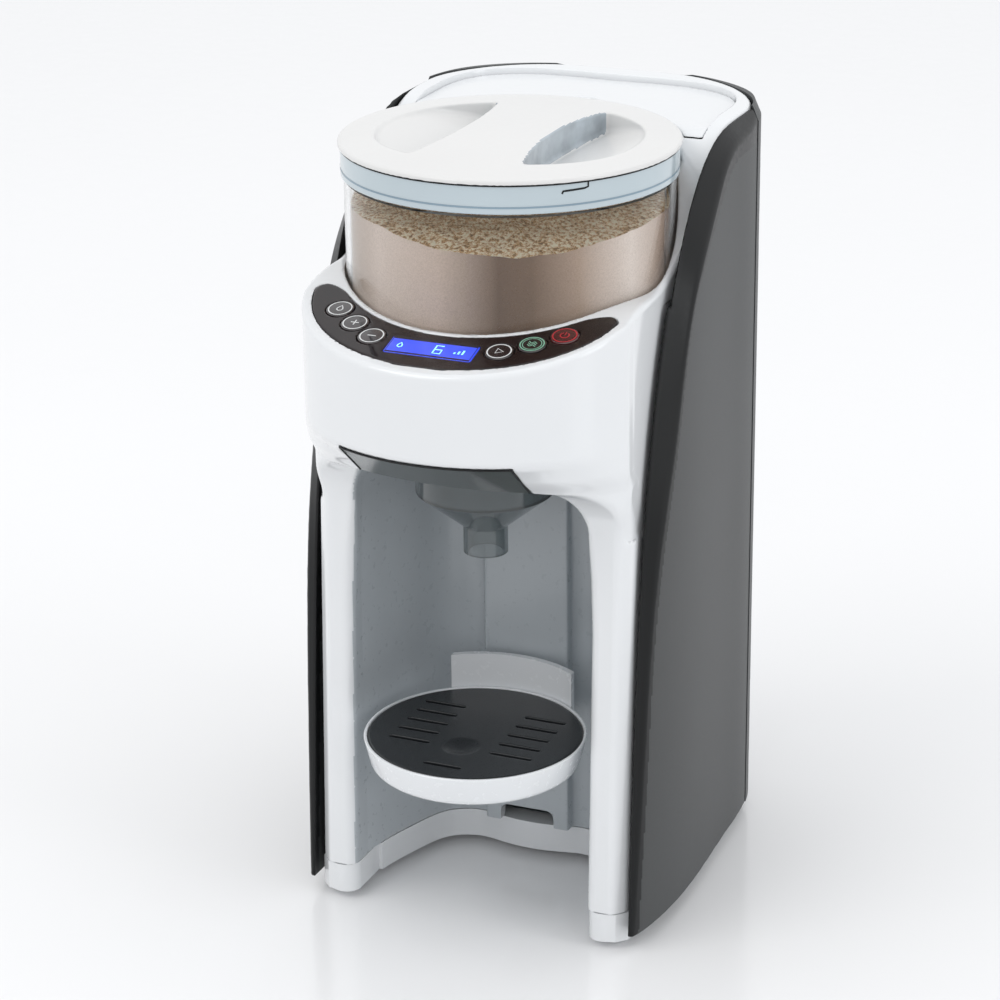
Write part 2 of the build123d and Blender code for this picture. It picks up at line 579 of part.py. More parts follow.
def build_funnel():
    profile = Polyline(
        (8, 175), (10, 175), (10, 187.5), (31, 204.5), (31, 225.2), (29, 225.2), (29, 205.3), (8, 188.4), (8, 175),
    )
    funnel = Pos(0, OUTLET_Y, 0) * revolve(Plane.XZ * make_face(profile), Axis.Z)
    flange = block(-39.5, 39.5, -110, 0, 225.2, 227.2) - rod(0, OUTLET_Y, 29, 200, 240)
    ahead = chin_mass(2.7) + block(-80, 80, HOOD_Y, 10, 200, 250)
    save("mixing_funnel", funnel + (flange & ahead))
    window = block(-39.8, 39.8, -120, -60, HOOD_BOTTOM + 0.1, HOOD_BREAK - 0.6)
    save("funnel_cover", (chin_mass(0) - chin_mass(2.6)) & window)


def build_tray():
    bottom_z = TRAY_Z - TRAY_DEPTH
    outline = Polyline(
        (0, bottom_z), (43, bottom_z), (47.5, bottom_z + 3), (TRAY_R, TRAY_Z), (GRILLE_R + GAP, TRAY_Z),
        (GRILLE_R + GAP, TRAY_Z - 2.7), (46, TRAY_Z - 2.7), (44, bottom_z + 2.5), (0, bottom_z + 2.5), close=True,
    )
    bowl = Pos(0, TRAY_Y, 0) * revolve(Plane.XZ * make_face(outline), Axis.Z)
    save("tray_bowl", bowl)
    collar = ring(0, TRAY_Y, TRAY_R + 3.4, TRAY_R + 0.6, bottom_z - 2.5, 108)
    collar += rod(0, TRAY_Y, TRAY_R + 3.4, bottom_z - 2.5, bottom_z - 0.1)
    collar &= block(-30, 30, -20, 20, 60, 120)
    hook = block(-11, 11, 6.6, 24, 93, 102)
    save("tray_bracket", collar + hook)

    grille = Pos(0, TRAY_Y, TRAY_Z - 1.3) * Cylinder(GRILLE_R, 2.4)
    for side in (-1, 1):
        for row in range(5):
            spot = Pos(24.7 * side, -63.5 + 10.1 * row, TRAY_Z)
            grille -= spot * extrude(SlotOverall(20, 2.4), 10, both=True)
    grille -= Pos(0, -83, TRAY_Z) * extrude(SlotOverall(18, 2.4), 10, both=True)
    grille -= Pos(0, -62, TRAY_Z) * Cylinder(8.5, 10)
    save("drip_grille", grille)


build_body()
build_cladding()
build_controls()
build_drive()
build_hopper()
build_lid()
build_seat()
build_water()
build_inlet()
build_funnel()
build_tray()
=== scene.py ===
import json
import math

import bpy
import numpy as np
from mathutils import Matrix, Vector


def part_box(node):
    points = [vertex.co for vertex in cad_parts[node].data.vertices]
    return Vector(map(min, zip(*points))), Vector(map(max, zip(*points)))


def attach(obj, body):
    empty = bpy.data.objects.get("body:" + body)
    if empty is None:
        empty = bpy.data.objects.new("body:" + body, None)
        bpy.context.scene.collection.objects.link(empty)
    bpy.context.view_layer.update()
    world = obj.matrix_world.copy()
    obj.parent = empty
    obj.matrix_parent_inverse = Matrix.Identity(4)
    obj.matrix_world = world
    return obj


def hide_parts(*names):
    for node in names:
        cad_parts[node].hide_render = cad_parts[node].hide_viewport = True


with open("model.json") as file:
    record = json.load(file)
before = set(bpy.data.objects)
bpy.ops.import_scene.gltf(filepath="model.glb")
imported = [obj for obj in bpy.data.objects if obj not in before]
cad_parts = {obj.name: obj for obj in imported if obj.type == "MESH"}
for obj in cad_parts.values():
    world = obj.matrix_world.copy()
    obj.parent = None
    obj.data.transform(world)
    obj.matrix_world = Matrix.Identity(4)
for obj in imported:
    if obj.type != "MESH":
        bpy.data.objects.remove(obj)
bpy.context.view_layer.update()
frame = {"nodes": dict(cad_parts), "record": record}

# All shapes are worked out in millimetres about the hopper's axis, with the table at z = 0,
# and then shifted to the row frame and scaled to metres.
_low, _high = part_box("powder_container")
HOPPER_Y = (_low.y + _high.y) / 2 * 1000
MM = 0.001


def to_row(points):
    """Hopper frame in millimetres to row frame in metres."""
    points = np.array(points, float)
    points[:, 1] += HOPPER_Y
    return points * MM


# ---------------------------------------------------------------- camera

def make_camera():
    azimuth, pitch, roll, yaw_shift = 0.401386885, 0.364924184, -0.0104835969, 0.00439846
    yaw = azimuth + yaw_shift
    ahead = Vector((-math.sin(yaw) * math.cos(pitch), math.cos(yaw) * math.cos(pitch), -math.sin(pitch)))
    right = Vector((math.cos(yaw), math.sin(yaw), 0))
    up = right.cross(ahead)
    across = math.cos(roll) * right + math.sin(roll) * up
    upward = -math.sin(roll) * right + math.cos(roll) * up
    data = bpy.data.cameras.new("camera")
    data.sensor_width = 36.0
    data.lens = 3210.56 / 1000 * 36.0
    data.clip_start, data.clip_end = 0.05, 60
    camera = bpy.data.objects.new("camera", data)
    spot = Vector((530.7, -1250.3 + HOPPER_Y, 706.6)) * MM
    turn = Matrix((across, upward, -ahead)).transposed()
    camera.matrix_world = Matrix.Translation(spot) @ turn.to_4x4()
    bpy.context.scene.collection.objects.link(camera)
    bpy.context.scene.camera = camera


# ---------------------------------------------------------------- curves and outlines

def spline(points, start, end, count=48):
    """Cubic spline through the points with unit end directions, as an array of points."""
    p = np.array(points, float)
    gaps = np.linalg.norm(np.diff(p, axis=0), axis=1)
    t = np.concatenate([[0], np.cumsum(gaps)])
    size = len(p)
    matrix, right = np.zeros((size, size)), np.zeros((size, 2))
    matrix[0, 0] = matrix[-1, -1] = 1
    right[0] = np.array(start) / np.linalg.norm(start)
    right[-1] = np.array(end) / np.linalg.norm(end)
    for i in range(1, size - 1):
        before, after = gaps[i - 1], gaps[i]
        matrix[i, i - 1], matrix[i, i], matrix[i, i + 1] = 1 / before, 2 / before + 2 / after, 1 / after
        right[i] = 3 * ((p[i] - p[i - 1]) / before ** 2 + (p[i + 1] - p[i]) / after ** 2)
    slope = np.linalg.solve(matrix, right)
    places = np.linspace(0, t[-1], count)
    k = np.clip(np.searchsorted(t, places, side="right") - 1, 0, size - 2)
    u = ((places - t[k]) / gaps[k])[:, None]
    g = gaps[k][:, None]
    return ((2 * u ** 3 - 3 * u ** 2 + 1) * p[k] + (u ** 3 - 2 * u ** 2 + u) * g * slope[k]
            + (3 * u ** 2 - 2 * u ** 3) * p[k + 1] + (u ** 3 - u ** 2) * g * slope[k + 1])


def mirrored(right, *rest):
    """Closed outline from its right half, listed from the side to the middle, and the points that close it."""
    right = np.array(right, float)
    left = right[::-1] * (-1, 1)
    return np.concatenate([right, left[1:], np.array(rest, float).reshape(-1, 2)])


class Outline:
    """Signed distance to a closed outline, looked up in a table."""

    def __init__(self, points, pitch=0.75, margin=14):
        p = np.array(points, float)
        self.low, self.pitch = p.min(0) - margin, pitch
        self.shape = np.ceil((p.max(0) + margin - self.low) / pitch).astype(int) + 1
        steps = [self.low[i] + pitch * np.arange(self.shape[i]) for i in range(2)]
        gx, gy = np.meshgrid(*steps, indexing="ij")
        nearest, inside = np.full(gx.shape, 1e9), np.zeros(gx.shape, bool)
        for a, b in zip(p, np.roll(p, -1, axis=0)):
            d = b - a
            if d @ d < 1e-9:
                continue
            t = np.clip(((gx - a[0]) * d[0] + (gy - a[1]) * d[1]) / (d @ d), 0, 1)
            nearest = np.minimum(nearest, (gx - a[0] - t * d[0]) ** 2 + (gy - a[1] - t * d[1]) ** 2)
            if d[1]:
                inside ^= ((a[1] > gy) != (b[1] > gy)) & (gx < d[0] * (gy - a[1]) / d[1] + a[0])
        self.table = np.where(inside, -1, 1) * np.sqrt(nearest)

    def __call__(self, u, v):
        fu = np.clip((u - self.low[0]) / self.pitch, 0, self.shape[0] - 1.001)
        fv = np.clip((v - self.low[1]) / self.pitch, 0, self.shape[1] - 1.001)
        i, j = fu.astype(int), fv.astype(int)
        a, b = fu - i, fv - j
        t = self.table
        near = (1 - b) * t[i, j] + b * t[i, j + 1]
        far = (1 - b) * t[i + 1, j] + b * t[i + 1, j + 1]
        return (1 - a) * near + a * far


# ---------------------------------------------------------------- rounded solids as distance fields

def meet(a, b, r):
    """Both solids, with the edge between them rounded to radius r."""
    return np.minimum(-r, np.maximum(a, b)) + np.hypot(np.maximum(a + r, 0), np.maximum(b + r, 0))


def join(a, b, r):
    return -meet(-a, -b, r)


def cut(a, b, r):
    return meet(a, -b, r)


def slab(v, low, high):
    return np.maximum(low - v, v - high)


def block(x, y, z, x0, x1, y0, y1, z0, z1, r=0.3):
    return meet(meet(slab(x, x0, x1), slab(y, y0, y1), r), slab(z, z0, z1), r)


def disc(x, y, z, cx, cy, radius, z0, z1, r=0.3):
    return meet(np.hypot(x - cx, y - cy) - radius, slab(z, z0, z1), r)


def ellipse(x, y, a, b):
    k0, k1 = np.hypot(x / a, y / b), np.hypot(x / a ** 2, y / b ** 2)
    return k0 * (k0 - 1) / np.maximum(k1, 1e-6)


# ---------------------------------------------------------------- meshing of the fields

def field_values(field, axes):
    """The field on a grid, worked out in layers to save memory."""
    layers = []
    for part in np.array_split(axes[2], max(1, len(axes[2]) // 24)):
        grid = np.meshgrid(axes[0], axes[1], part, indexing="ij")
        layers.append(field(*grid).astype(np.float32))
    return np.concatenate(layers, axis=2)


def slopes(field, p, h=0.3):
    g = np.empty_like(p)
    for i in range(3):
        step = np.zeros(3)
        step[i] = h
        g[:, i] = (field(*(p + step).T) - field(*(p - step).T)) / (2 * h)
    return g


def unit(v):
    return v / np.maximum(np.linalg.norm(v, axis=1, keepdims=True), 1e-9)


def contour(field, axes):
    """Dual contouring: vertices and quads of the surface where the field is zero."""
    v = field_values(field, axes)
    inside = v < 0
    cells = np.array([len(a) - 1 for a in axes])
    owners, places, normals, quads = [], [], [], []
    for axis in range(3):
        b, c = (axis + 1) % 3, (axis + 2) % 3
        low = [slice(None)] * 3
        high = [slice(None)] * 3
        low[axis], high[axis] = slice(0, -1), slice(1, None)
        low, high = tuple(low), tuple(high)
        at = np.argwhere(inside[low] != inside[high])
        if not len(at):
            continue
        ends = at.copy()
        ends[:, axis] += 1
        v0, v1 = v[tuple(at.T)].astype(float), v[tuple(ends.T)].astype(float)
        p = np.stack([axes[i][at[:, i]] for i in range(3)], 1).astype(float)
        p[:, axis] += (axes[axis][ends[:, axis]] - axes[axis][at[:, axis]]) * v0 / (v0 - v1)
        n = unit(slopes(field, p))
        around = []
        for db, dc in ((-1, -1), (0, -1), (0, 0), (-1, 0)):
            cell = at.copy()
            cell[:, b] += db
            cell[:, c] += dc
            fits = ((cell >= 0) & (cell < cells)).all(1)
            flat = np.where(fits, np.ravel_multi_index(np.clip(cell, 0, cells - 1).T, cells), -1)
            around.append(flat)
            owners.append(flat[fits])
            places.append(p[fits])
            normals.append(n[fits])
        quad = np.stack(around, 1)
        flip = v0 > 0
        quad[flip] = quad[flip][:, ::-1]
        quads.append(quad[(quad >= 0).all(1)])
    owners, places, normals = np.concatenate(owners), np.concatenate(places), np.concatenate(normals)
    ids, where = np.unique(owners, return_inverse=True)
    count = np.bincount(where)

    def total(weights):
        return np.bincount(where, weights=weights)

    middle = np.stack([total(places[:, i]) for i in range(3)], 1) / count[:, None]
    offset = ((places - middle[where]) * normals).sum(1)
    ata = np.empty((len(ids), 3, 3))
    atb = np.empty((len(ids), 3))
    for i in range(3):
        atb[:, i] = total(normals[:, i] * offset)
        for j in range(3):
            ata[:, i, j] = total(normals[:, i] * normals[:, j])
    ata += np.eye(3) * 0.08 * count[:, None, None]
    spots = middle + np.linalg.solve(ata, atb[:, :, None])[:, :, 0]
    cell = np.stack(np.unravel_index(ids, cells), 1)
    lo = np.stack([axes[i][cell[:, i]] for i in range(3)], 1)
    hi = np.stack([axes[i][cell[:, i] + 1] for i in range(3)], 1)
    spots = np.clip(spots, lo, hi)
    faces = np.searchsorted(ids, np.concatenate(quads))
    return spots, faces


def corner_normals(field, spots, faces):
    """Exact normals: one per vertex on smooth surface, and one per face corner at an edge."""
    smooth = unit(slopes(field, spots))
    inner = 0.7 * spots[faces] + 0.3 * spots[faces].mean(1, keepdims=True)
    each = unit(slopes(field, inner.reshape(-1, 3), 0.12))
    agree = np.ones(len(spots))
    np.minimum.at(agree, faces.ravel(), (each * smooth[faces.ravel()]).sum(1))
    even = agree[faces.ravel()] > 0.97
    return np.where(even[:, None], smooth[faces.ravel()], each)


def grid_axis(*stops):
    """Grid positions from (start, end, step) runs."""
    runs = [np.linspace(a, b, max(2, round((b - a) / s) + 1))[:-1] for a, b, s in stops]
    return np.concatenate([*runs, [stops[-1][1]]])


def new_mesh(name, points, faces, material, normals=None):
    """Mesh object in the row frame from hopper-frame millimetres."""
    mesh = bpy.data.meshes.new(name)
    mesh.from_pydata(to_row(points).tolist(), [], faces.tolist() if hasattr(faces, "tolist") else faces)
    mesh.materials.append(material)
    mesh.polygons.foreach_set("use_smooth", [True] * len(mesh.polygons))
    if normals is not None:
        mesh.normals_split_custom_set(normals.tolist())
    mesh.update()
    piece = bpy.data.objects.new(name, mesh)
    bpy.context.scene.collection.objects.link(piece)
    return piece


def solid(name, field, axes, material):
    spots, faces = contour(field, axes)
    return new_mesh(name, spots, faces, material, corner_normals(field, spots, faces))


def stands_for(piece, body, slot, *nodes):
    if nodes:
        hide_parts(*nodes)
    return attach(piece, body)


def lathe(profile, count=64):
    """Points and faces of a solid of revolution from (radius, height) pairs."""
    turn = np.linspace(0, 2 * math.pi, count, endpoint=False)
    points, faces, last = [], [], None
    for radius, height in profile:
        start = len(points)
        if radius < 1e-6:
            points.append((0, 0, height))
            ring = [start] * count
        else:
            points += [(radius * math.cos(a), radius * math.sin(a), height) for a in turn]
            ring = list(range(start, start + count))
        if last:
            for i in range(count):
                j = (i + 1) % count
                face = list(dict.fromkeys((last[i], ring[i], ring[j], last[j])))
                if len(face) > 2:
                    faces.append(face)
        last = ring
    return np.array(points), faces


def lathed(name, profile, material, place=lambda p: p, count=64, angle=32):
    points, faces = lathe(profile, count)
    piece = new_mesh(name, place(points), faces, material)
    piece.data.set_sharp_from_angle(angle=math.radians(angle))
    return piece


def stroke(points, width, closed=False):
    """Flat ribbon along a 2-D line, as points and faces."""
    p = np.array(points, float)
    if closed:
        ahead, behind = np.roll(p, -1, 0), np.roll(p, 1, 0)
    else:
        ahead, behind = np.vstack([p[1:], p[-1:]]), np.vstack([p[:1], p[:-1]])
    along = unit(ahead - behind)
    side = np.stack([-along[:, 1], along[:, 0]], 1) * width / 2
    count = len(p)
    spans = count if closed else count - 1
    faces = [(i, (i + 1) % count, count + (i + 1) % count, count + i) for i in range(spans)]
    return np.concatenate([p - side, p + side]), faces


def arc_points(radius, start=0.0, end=360.0, count=48, centre=(0, 0)):
    turn = np.radians(np.linspace(start, end, count, endpoint=abs(end - start) < 360))
    return np.stack([centre[0] + radius * np.cos(turn), centre[1] + radius * np.sin(turn)], 1)


def printed(name, strokes, place, material, body, slot):
    """Thin printed marks: ribbons put on a surface by place(points)."""
    points, faces = [], []
    for ribbon, ribbon_faces in strokes:
        faces += [tuple(i + len(points) for i in face) for face in ribbon_faces]
        points += ribbon.tolist()
    piece = new_mesh(name, place(np.array(points)), faces, material)
    stands_for(piece, body, slot)


def ring_faces(rings, count):
    """Quads between rings of points, each ring with count points."""
    return [(i * count + k, (i + 1) * count + k, (i + 1) * count + (k + 1) % count, i * count + (k + 1) % count)
            for i in range(rings - 1) for k in range(count)]


def tube(name, path, radius, material, count=10):
    """Round bar along a 3-D line."""
    p = np.array(path, float)
    along = unit(np.vstack([p[1:], p[-1:]]) - np.vstack([p[:1], p[:-1]]))
    side = unit(np.cross(along, (0.05, 0.1, 1.0)))
    up = np.cross(side, along)
    turn = np.linspace(0, 2 * math.pi, count, endpoint=False)
    across, upward = np.cos(turn)[None, :, None], np.sin(turn)[None, :, None]
    rings = p[:, None] + radius * (across * side[:, None] + upward * up[:, None])
    faces = ring_faces(len(p), count)
    faces += [tuple(range(count)), tuple(range(len(p) * count - 1, (len(p) - 1) * count - 1, -1))]
    return new_mesh(name, rings.reshape(-1, 3), faces, material)


# ---------------------------------------------------------------- dimensions, millimetres in the hopper frame

HOOD_Y, HOOD_A, HOOD_B, CHIN_B = -42.0, 75.5, 64.0, 39.0
HOOD_BOTTOM, HOOD_BREAK = 223.0, 241.0
LEG_Y, LEG_TOE, LEG_TOP, LEG_CURVE, BASE_TOP = -50.0, -57.0, 195.0, 28.0, 17.8
SHELL_X, REVEAL_X, REVEAL_TURN = 75.6, 71.5, 43.75
PANEL_Y, PANEL_Z, PANEL_TILT = -91.5, 284.6, math.radians(15)
TOP_Z, SEAM_Z = 356.0, 291.5
WALL = 3.6
CLAD_X, CLAD_REAR, DECK_X = 78.0, 92.0, 79.0
LID_R, RING_R, LID_EDGE, LID_TOP = 75.0, 74.0, 355.0, 360.5
TRAY_Y, SPOUT_Y = -45.9, -31.5


def body_outlines():
    bay_side = spline([(57.4, -42), (54.6, -23.8), (48.3, -3.3), (38.2, 15.2), (29.5, 19.2), (0, 16.3)],
                      (-0.1, 1), (-1, 0))
    bay = mirrored(bay_side, (-57.4, -130), (57.4, -130))
    deck_side = spline([(79, 86), (67.5, 115), (40, 135.5), (0, 140.3)], (0, 1), (-1, 0))
    deck = mirrored(deck_side, (-79, -13.8), (79, -13.8))
    recess_side = spline([(70.5, 86), (62, 113.5), (43, 125), (0, 127)], (0, 1), (-1, 0))
    recess = mirrored(recess_side, (-70.5, 24), (70.5, 24))
    return Outline(bay), Outline(deck), Outline(recess)


BAY, DECK, RECESS = body_outlines()
WING = [(-50, 295.6), (-40, 297.7), (-28, 298.7), (-15, 299.3), (4.4, 308), (22, 325), (40, 344), (62, 354.5),
        (78, TOP_Z)]


def panel_z(y):
    """Height of the control panel's plane."""
    return PANEL_Z + math.tan(PANEL_TILT) * (y - PANEL_Y)


# Side view of the top: the sloping panel, the wings that sweep up beside the hopper, and the flat deck.
TOP_LINE = np.concatenate([
    [(-130, panel_z(-130)), (-60, panel_z(-60))],
    spline(WING, (1, math.tan(PANEL_TILT)), (1, 0), 90),
    [(200, TOP_Z)],
])


def top_surface(y, z):
    """Distance above the top line."""
    height, ahead, behind = (np.interp(y + step, *TOP_LINE.T) for step in (0, 1.5, -1.5))
    steep = (ahead - behind) / 3
    return (z - height) / np.sqrt(1 + steep ** 2)


def hood_field(x, y, z):
    """Half-elliptical hood, whose front slopes back below HOOD_BREAK to the chin."""
    straight = CHIN_B + (z - HOOD_BOTTOM) * (HOOD_B - CHIN_B) / (HOOD_BREAK - HOOD_BOTTOM)
    ease = np.clip(0.5 + (HOOD_B - straight) / 8, 0, 1)
    depth = HOOD_B + (straight - HOOD_B) * ease - 4 * ease * (1 - ease)
    depth = np.maximum(depth, 20)
    lean = 1 - 0.4 * np.clip((HOOD_BREAK - z) / 6 + 0.5, 0, 1)
    side = ellipse(x, np.minimum(y - HOOD_Y, 0), HOOD_A, depth) * lean
    return meet(side, HOOD_BOTTOM - 1.5 - z, 10)


def leg_field(x, y, z):
    """Legs that lean to the toe, curve out under the hood, and turn back at the outer corners."""
    rise = np.clip(z - LEG_TOP, 0, LEG_CURVE - 0.6)
    curve = np.sqrt(LEG_CURVE ** 2 - rise ** 2)
    toe = np.clip((LEG_TOP - z) / (LEG_TOP - BASE_TOP), 0, 1.1)
    front = LEG_Y - (LEG_CURVE - curve) + (LEG_TOE - LEG_Y) * toe
    limit = HOOD_Y - CHIN_B * np.sqrt(np.maximum(1 - (x / HOOD_A) ** 2, 0))
    limit = np.where(z > LEG_TOP, limit, front - 9)
    blend = np.clip(0.5 + (limit - front) / 8, 0, 1)
    front = front + (limit - front) * blend + 4 * blend * (1 - blend) * (z > LEG_TOP)
    face = (front - y) * np.maximum(curve / LEG_CURVE, 0.35)
    fade = 7.0 * np.clip((z - LEG_TOP) / 26, 0, 1) ** 2
    turn = math.radians(REVEAL_TURN)
    reveal = (np.abs(x) - REVEAL_X) * math.cos(turn) - (y - front - 1.8) * math.sin(turn) - fade
    return meet(face, reveal, 1.6)


def slot_field(x, y, z):
    """Three arched slots in the column behind the tray."""
    slots = [np.maximum(meet(np.abs(x) - 13.4, slab(z, top - 14, top), 4), slab(y, 8, 30))
             for top in (26.6, 65.0, 104.0)]
    return np.minimum.reduce(slots)


def bay_field(x, y, z):
    """Bottle bay with an arched mouth, less the column at its back."""
    plan = BAY(x, y) + 1.9 * np.clip((z - 150) / 45, 0, 1)
    bay = meet(plan, z - HOOD_BOTTOM, 26)
    rail = block(x, y, z, -21, 21, 13.4, 40, 0, 190, 1.0)
    return cut(bay, rail, 1.0)


def fascia_plan(x, y, grow):
    """Crescent of the control panel in plan, with rounded tips."""
    outer = ellipse(x, y + 44, 71, 56) - grow
    inner = 77.6 - grow - np.hypot(x, y - 2)
    return meet(meet(outer, inner, 2.5), y + 47.5 - grow, 6)


def panel_height(y, z):
    """Distance off the control panel's plane."""
    return (z - panel_z(y)) * math.cos(PANEL_TILT)


def white_body(x, y, z):
    """The whole white moulding: hood, legs and deck, hollowed, with its bay, recess, well and openings."""
    radius = np.hypot(x, y)
    mass = join(hood_field(x, y, z), leg_field(x, y, z), 6.0)
    mass = meet(mass, np.abs(x) - SHELL_X, 1.2)
    plan = DECK(x, y)
    mass = np.where(y > 20, np.maximum(mass, plan), mass)
    ease = np.clip((y + 14) / 50, 0, 1)
    half = SHELL_X + (DECK_X - SHELL_X) * ease * ease * (3 - 2 * ease)
    deck = np.maximum(np.maximum(plan, np.abs(x) - half), SEAM_Z - z)
    mass = np.minimum(mass, deck)
    mass = meet(mass, top_surface(y, z), 2.2)
    mass = cut(mass, bay_field(x, y, z), 2.0 + 3.0 * np.clip((205 - z) / 30, 0, 1))
    recess = meet(RECESS(x, y), 353 - z, 2.0)
    mass = cut(mass, recess, 1.2)
    well = np.maximum(radius - 73.2 - 2.8 * np.clip((z - 338) / 4, 0, 1), 265.9 - z)
    mass = cut(mass, well, 0.8)
    shell = np.maximum(mass, -WALL - 3.5 * np.clip((252 - z) / 10, 0, 1) - mass)
    shell = np.maximum(shell, BASE_TOP + 0.3 - z)
    shell = np.maximum(shell, np.minimum(y - 96, SEAM_Z - z))
    shell = cut(shell, block(x, y, z, -40.2, 40.2, -130, -36, 210, HOOD_BREAK - 0.2, 0.2), 0.4)
    shell = cut(shell, np.maximum(fascia_plan(x, y, 0.25), -8 - panel_height(y, z)), 0.3)
    shell = cut(shell, block(x, y, z, -33, 33, -60, 2, 210, 240), 0.2)
    shell = cut(shell, np.maximum(RECESS(x, y) - 0.2, np.maximum(79.7 - radius, 49.7 - y)), 0.3)
    shell = np.maximum(shell, -np.maximum(np.hypot(x, y - SPOUT_Y) - 10.2, slab(z, 240, 270)))
    shell = np.maximum(shell, -np.maximum(radius - 11, slab(z, 240, 270)))
    return np.maximum(shell, -slot_field(x, y, z))


def make_body():
    axes = [grid_axis((-80.6, 80.6, 1.25)), grid_axis((-108, 142, 1.25)),
            grid_axis((16.5, 216, 2.2), (216, 358, 1.1))]
    piece = solid("white_body", white_body, axes, MATERIALS["white_shell"])
    piece.data.materials.append(MATERIALS["bay_painted_shade"])
    # Faces on the bay's walls get a darker grey: painted shade inside the bay.
    middles = np.array([face.center for face in piece.data.polygons]) / MM
    middles[:, 1] -= HOPPER_Y
    for face, depth in zip(piece.data.polygons, bay_field(*middles.T)):
        if depth < 0.7:
            face.material_index = 1
    stands_for(piece, "housing", "white_shell",
               "front_shell", "top_deck", "bay_liner", "bay_ceiling", "tray_rail", "hopper_seat")


# ---------------------------------------------------------------- lid, ring and tank lid

def lid_scoops(x, y):
    """Two half-moon finger scoops, each between a shallow and a tight arc."""
    side = np.abs(x)
    return meet(np.hypot(side - 215, y) - 195, np.hypot(side - 9.12, y) - 50.88, 3)


def lid_field(x, y, z):
    radius, plan = np.hypot(x, y), lid_scoops(x, y)
    floor = 345.5 + (np.abs(x) - 15) * 0.279
    crown = LID_TOP - 3.4 * (radius / LID_R) ** 2
    plate = np.maximum(meet(radius - LID_R, z - crown, 1.2), LID_EDGE - z)
    plate = np.minimum(plate, np.maximum(radius - 72.4, slab(z, 353.4, 355.5)))
    cups = np.maximum(np.maximum(plan - 1.6, np.maximum(floor - 1.8, 344.5) - z), z - 357)
    return cut(np.minimum(plate, cups), meet(plan, floor - z, 3.0), 0.9)


def make_lid():
    axes = [grid_axis((-75.6, 75.6, 0.95)), grid_axis((-75.6, 75.6, 0.95)), grid_axis((343.6, 361.2, 0.6))]
    piece = solid("lid_white", lid_field, axes, MATERIALS["lid_white"])
    piece.data.materials.append(MATERIALS["lid_scoop_painted_shade"])
    # Faces of each scoop's steep inner wall, facing out from the middle, get a dark blue-grey: painted shade in
    # the scoops.
    for face in piece.data.polygons:
        x, y = face.center.x / MM, face.center.y / MM - HOPPER_Y
        if lid_scoops(x, y) < 0.5 and face.normal.x * math.copysign(1, x) > 0.4 and abs(x) < 45:
            face.material_index = 1
    stands_for(piece, "lid", "white_shell", "lid_cap")

    bore, foot = 72.75, 342.2
    section = [(bore, foot), (RING_R - 0.3, foot), (RING_R, foot + 0.3), (RING_R, LID_EDGE - 0.3),
               (RING_R - 0.2, LID_EDGE), (bore, LID_EDGE), (bore, foot)]
    ring = lathed("ring", section, MATERIALS["blue_grey_ring"], count=160)
    stands_for(ring, "lid", "blue_grey_ring", "lid_ring")
    gap = lathed("lid_gap", [(72.5, 354.2), (74.35, 354.2), (74.35, 354.95), (72.5, 354.95), (72.5, 354.2)],
                 MATERIALS["black_gloss"], count=160)
    stands_for(gap, "lid", "black_gloss")

    def on_ring(p):
        """Places (degrees round, height) points just proud of the ring."""
        turn, proud = np.radians(p[:, 0]), RING_R + 0.12
        return np.stack([proud * np.sin(turn), -proud * np.cos(turn), p[:, 1]], 1)
    level = np.linspace(47.6, 40.2, 12)
    mark = np.array([(48.9, 354.2), (48.9, 352.2), *zip(level, np.linspace(351.7, 351.3, 12)), (39.8, 350.2)])
    degree = np.array([(math.radians(RING_R), 1.0)])
    ribbon, faces = stroke(mark * degree, 0.85)
    printed("ring_mark", [(ribbon / degree, faces)], on_ring, MATERIALS["black_gloss"], "lid", "black_gloss")
    line = np.stack([np.linspace(0, 360, 181), np.full(181, 345.2)], 1)
    printed("ring_line", [stroke(line, 0.8)], on_ring, MATERIALS["ring_dark"], "lid", "blue_grey_ring")


def tank_lid_field(x, y, z):
    """Lid in the deck's recess, with a skirt and a dished finger notch, trimmed where the wings slope."""
    plan = meet(RECESS(x, y) + 0.1, 80 - np.hypot(x, y), 0.3)
    body = meet(plan, slab(z, 350, 353), 0.3)
    skirt = np.maximum(np.maximum(plan + 6, -8 - plan), slab(z, 343, 351))
    body = np.minimum(body, skirt)
    notch = np.hypot(np.hypot(x, y - 86), z - 357) - 8
    return cut(meet(body, top_surface(y, z) + 0.1, 0.5), notch, 0.4)


def make_tank_lid():
    axes = [grid_axis((-72, 72, 1.1)), grid_axis((33, 129, 1.1)), grid_axis((342.2, 354, 0.7))]
    piece = solid("tank_cover", tank_lid_field, axes, MATERIALS["white_shell"])
    stands_for(piece, "tank_lid", "white_shell", "tank_lid")


# ---------------------------------------------------------------- control panel

def on_panel(x, y, lift=0.0):
    """Places flat (across, up the slope, off the panel) points about a spot on the control panel."""
    flat, steep = math.cos(PANEL_TILT), math.sin(PANEL_TILT)
    z = panel_z(y)

    def place(p):
        height = p[:, 2] + lift if p.shape[1] > 2 else np.full(len(p), lift)
        slope = p[:, 1]
        return np.stack([x + p[:, 0], y + slope * flat - height * steep, z + slope * steep + height * flat], 1)
    return place


BUTTONS = {"outer": (52.0, -65.6), "mid": (40.9, -74.5), "inner": (29.3, -82.4)}
DISPLAY_Y = -86.2


def slope_place(y, z, at):
    """How far up the panel's slope a point is from the line y = at."""
    return (y - at) * math.cos(PANEL_TILT) + (z - panel_z(at)) * math.sin(PANEL_TILT)


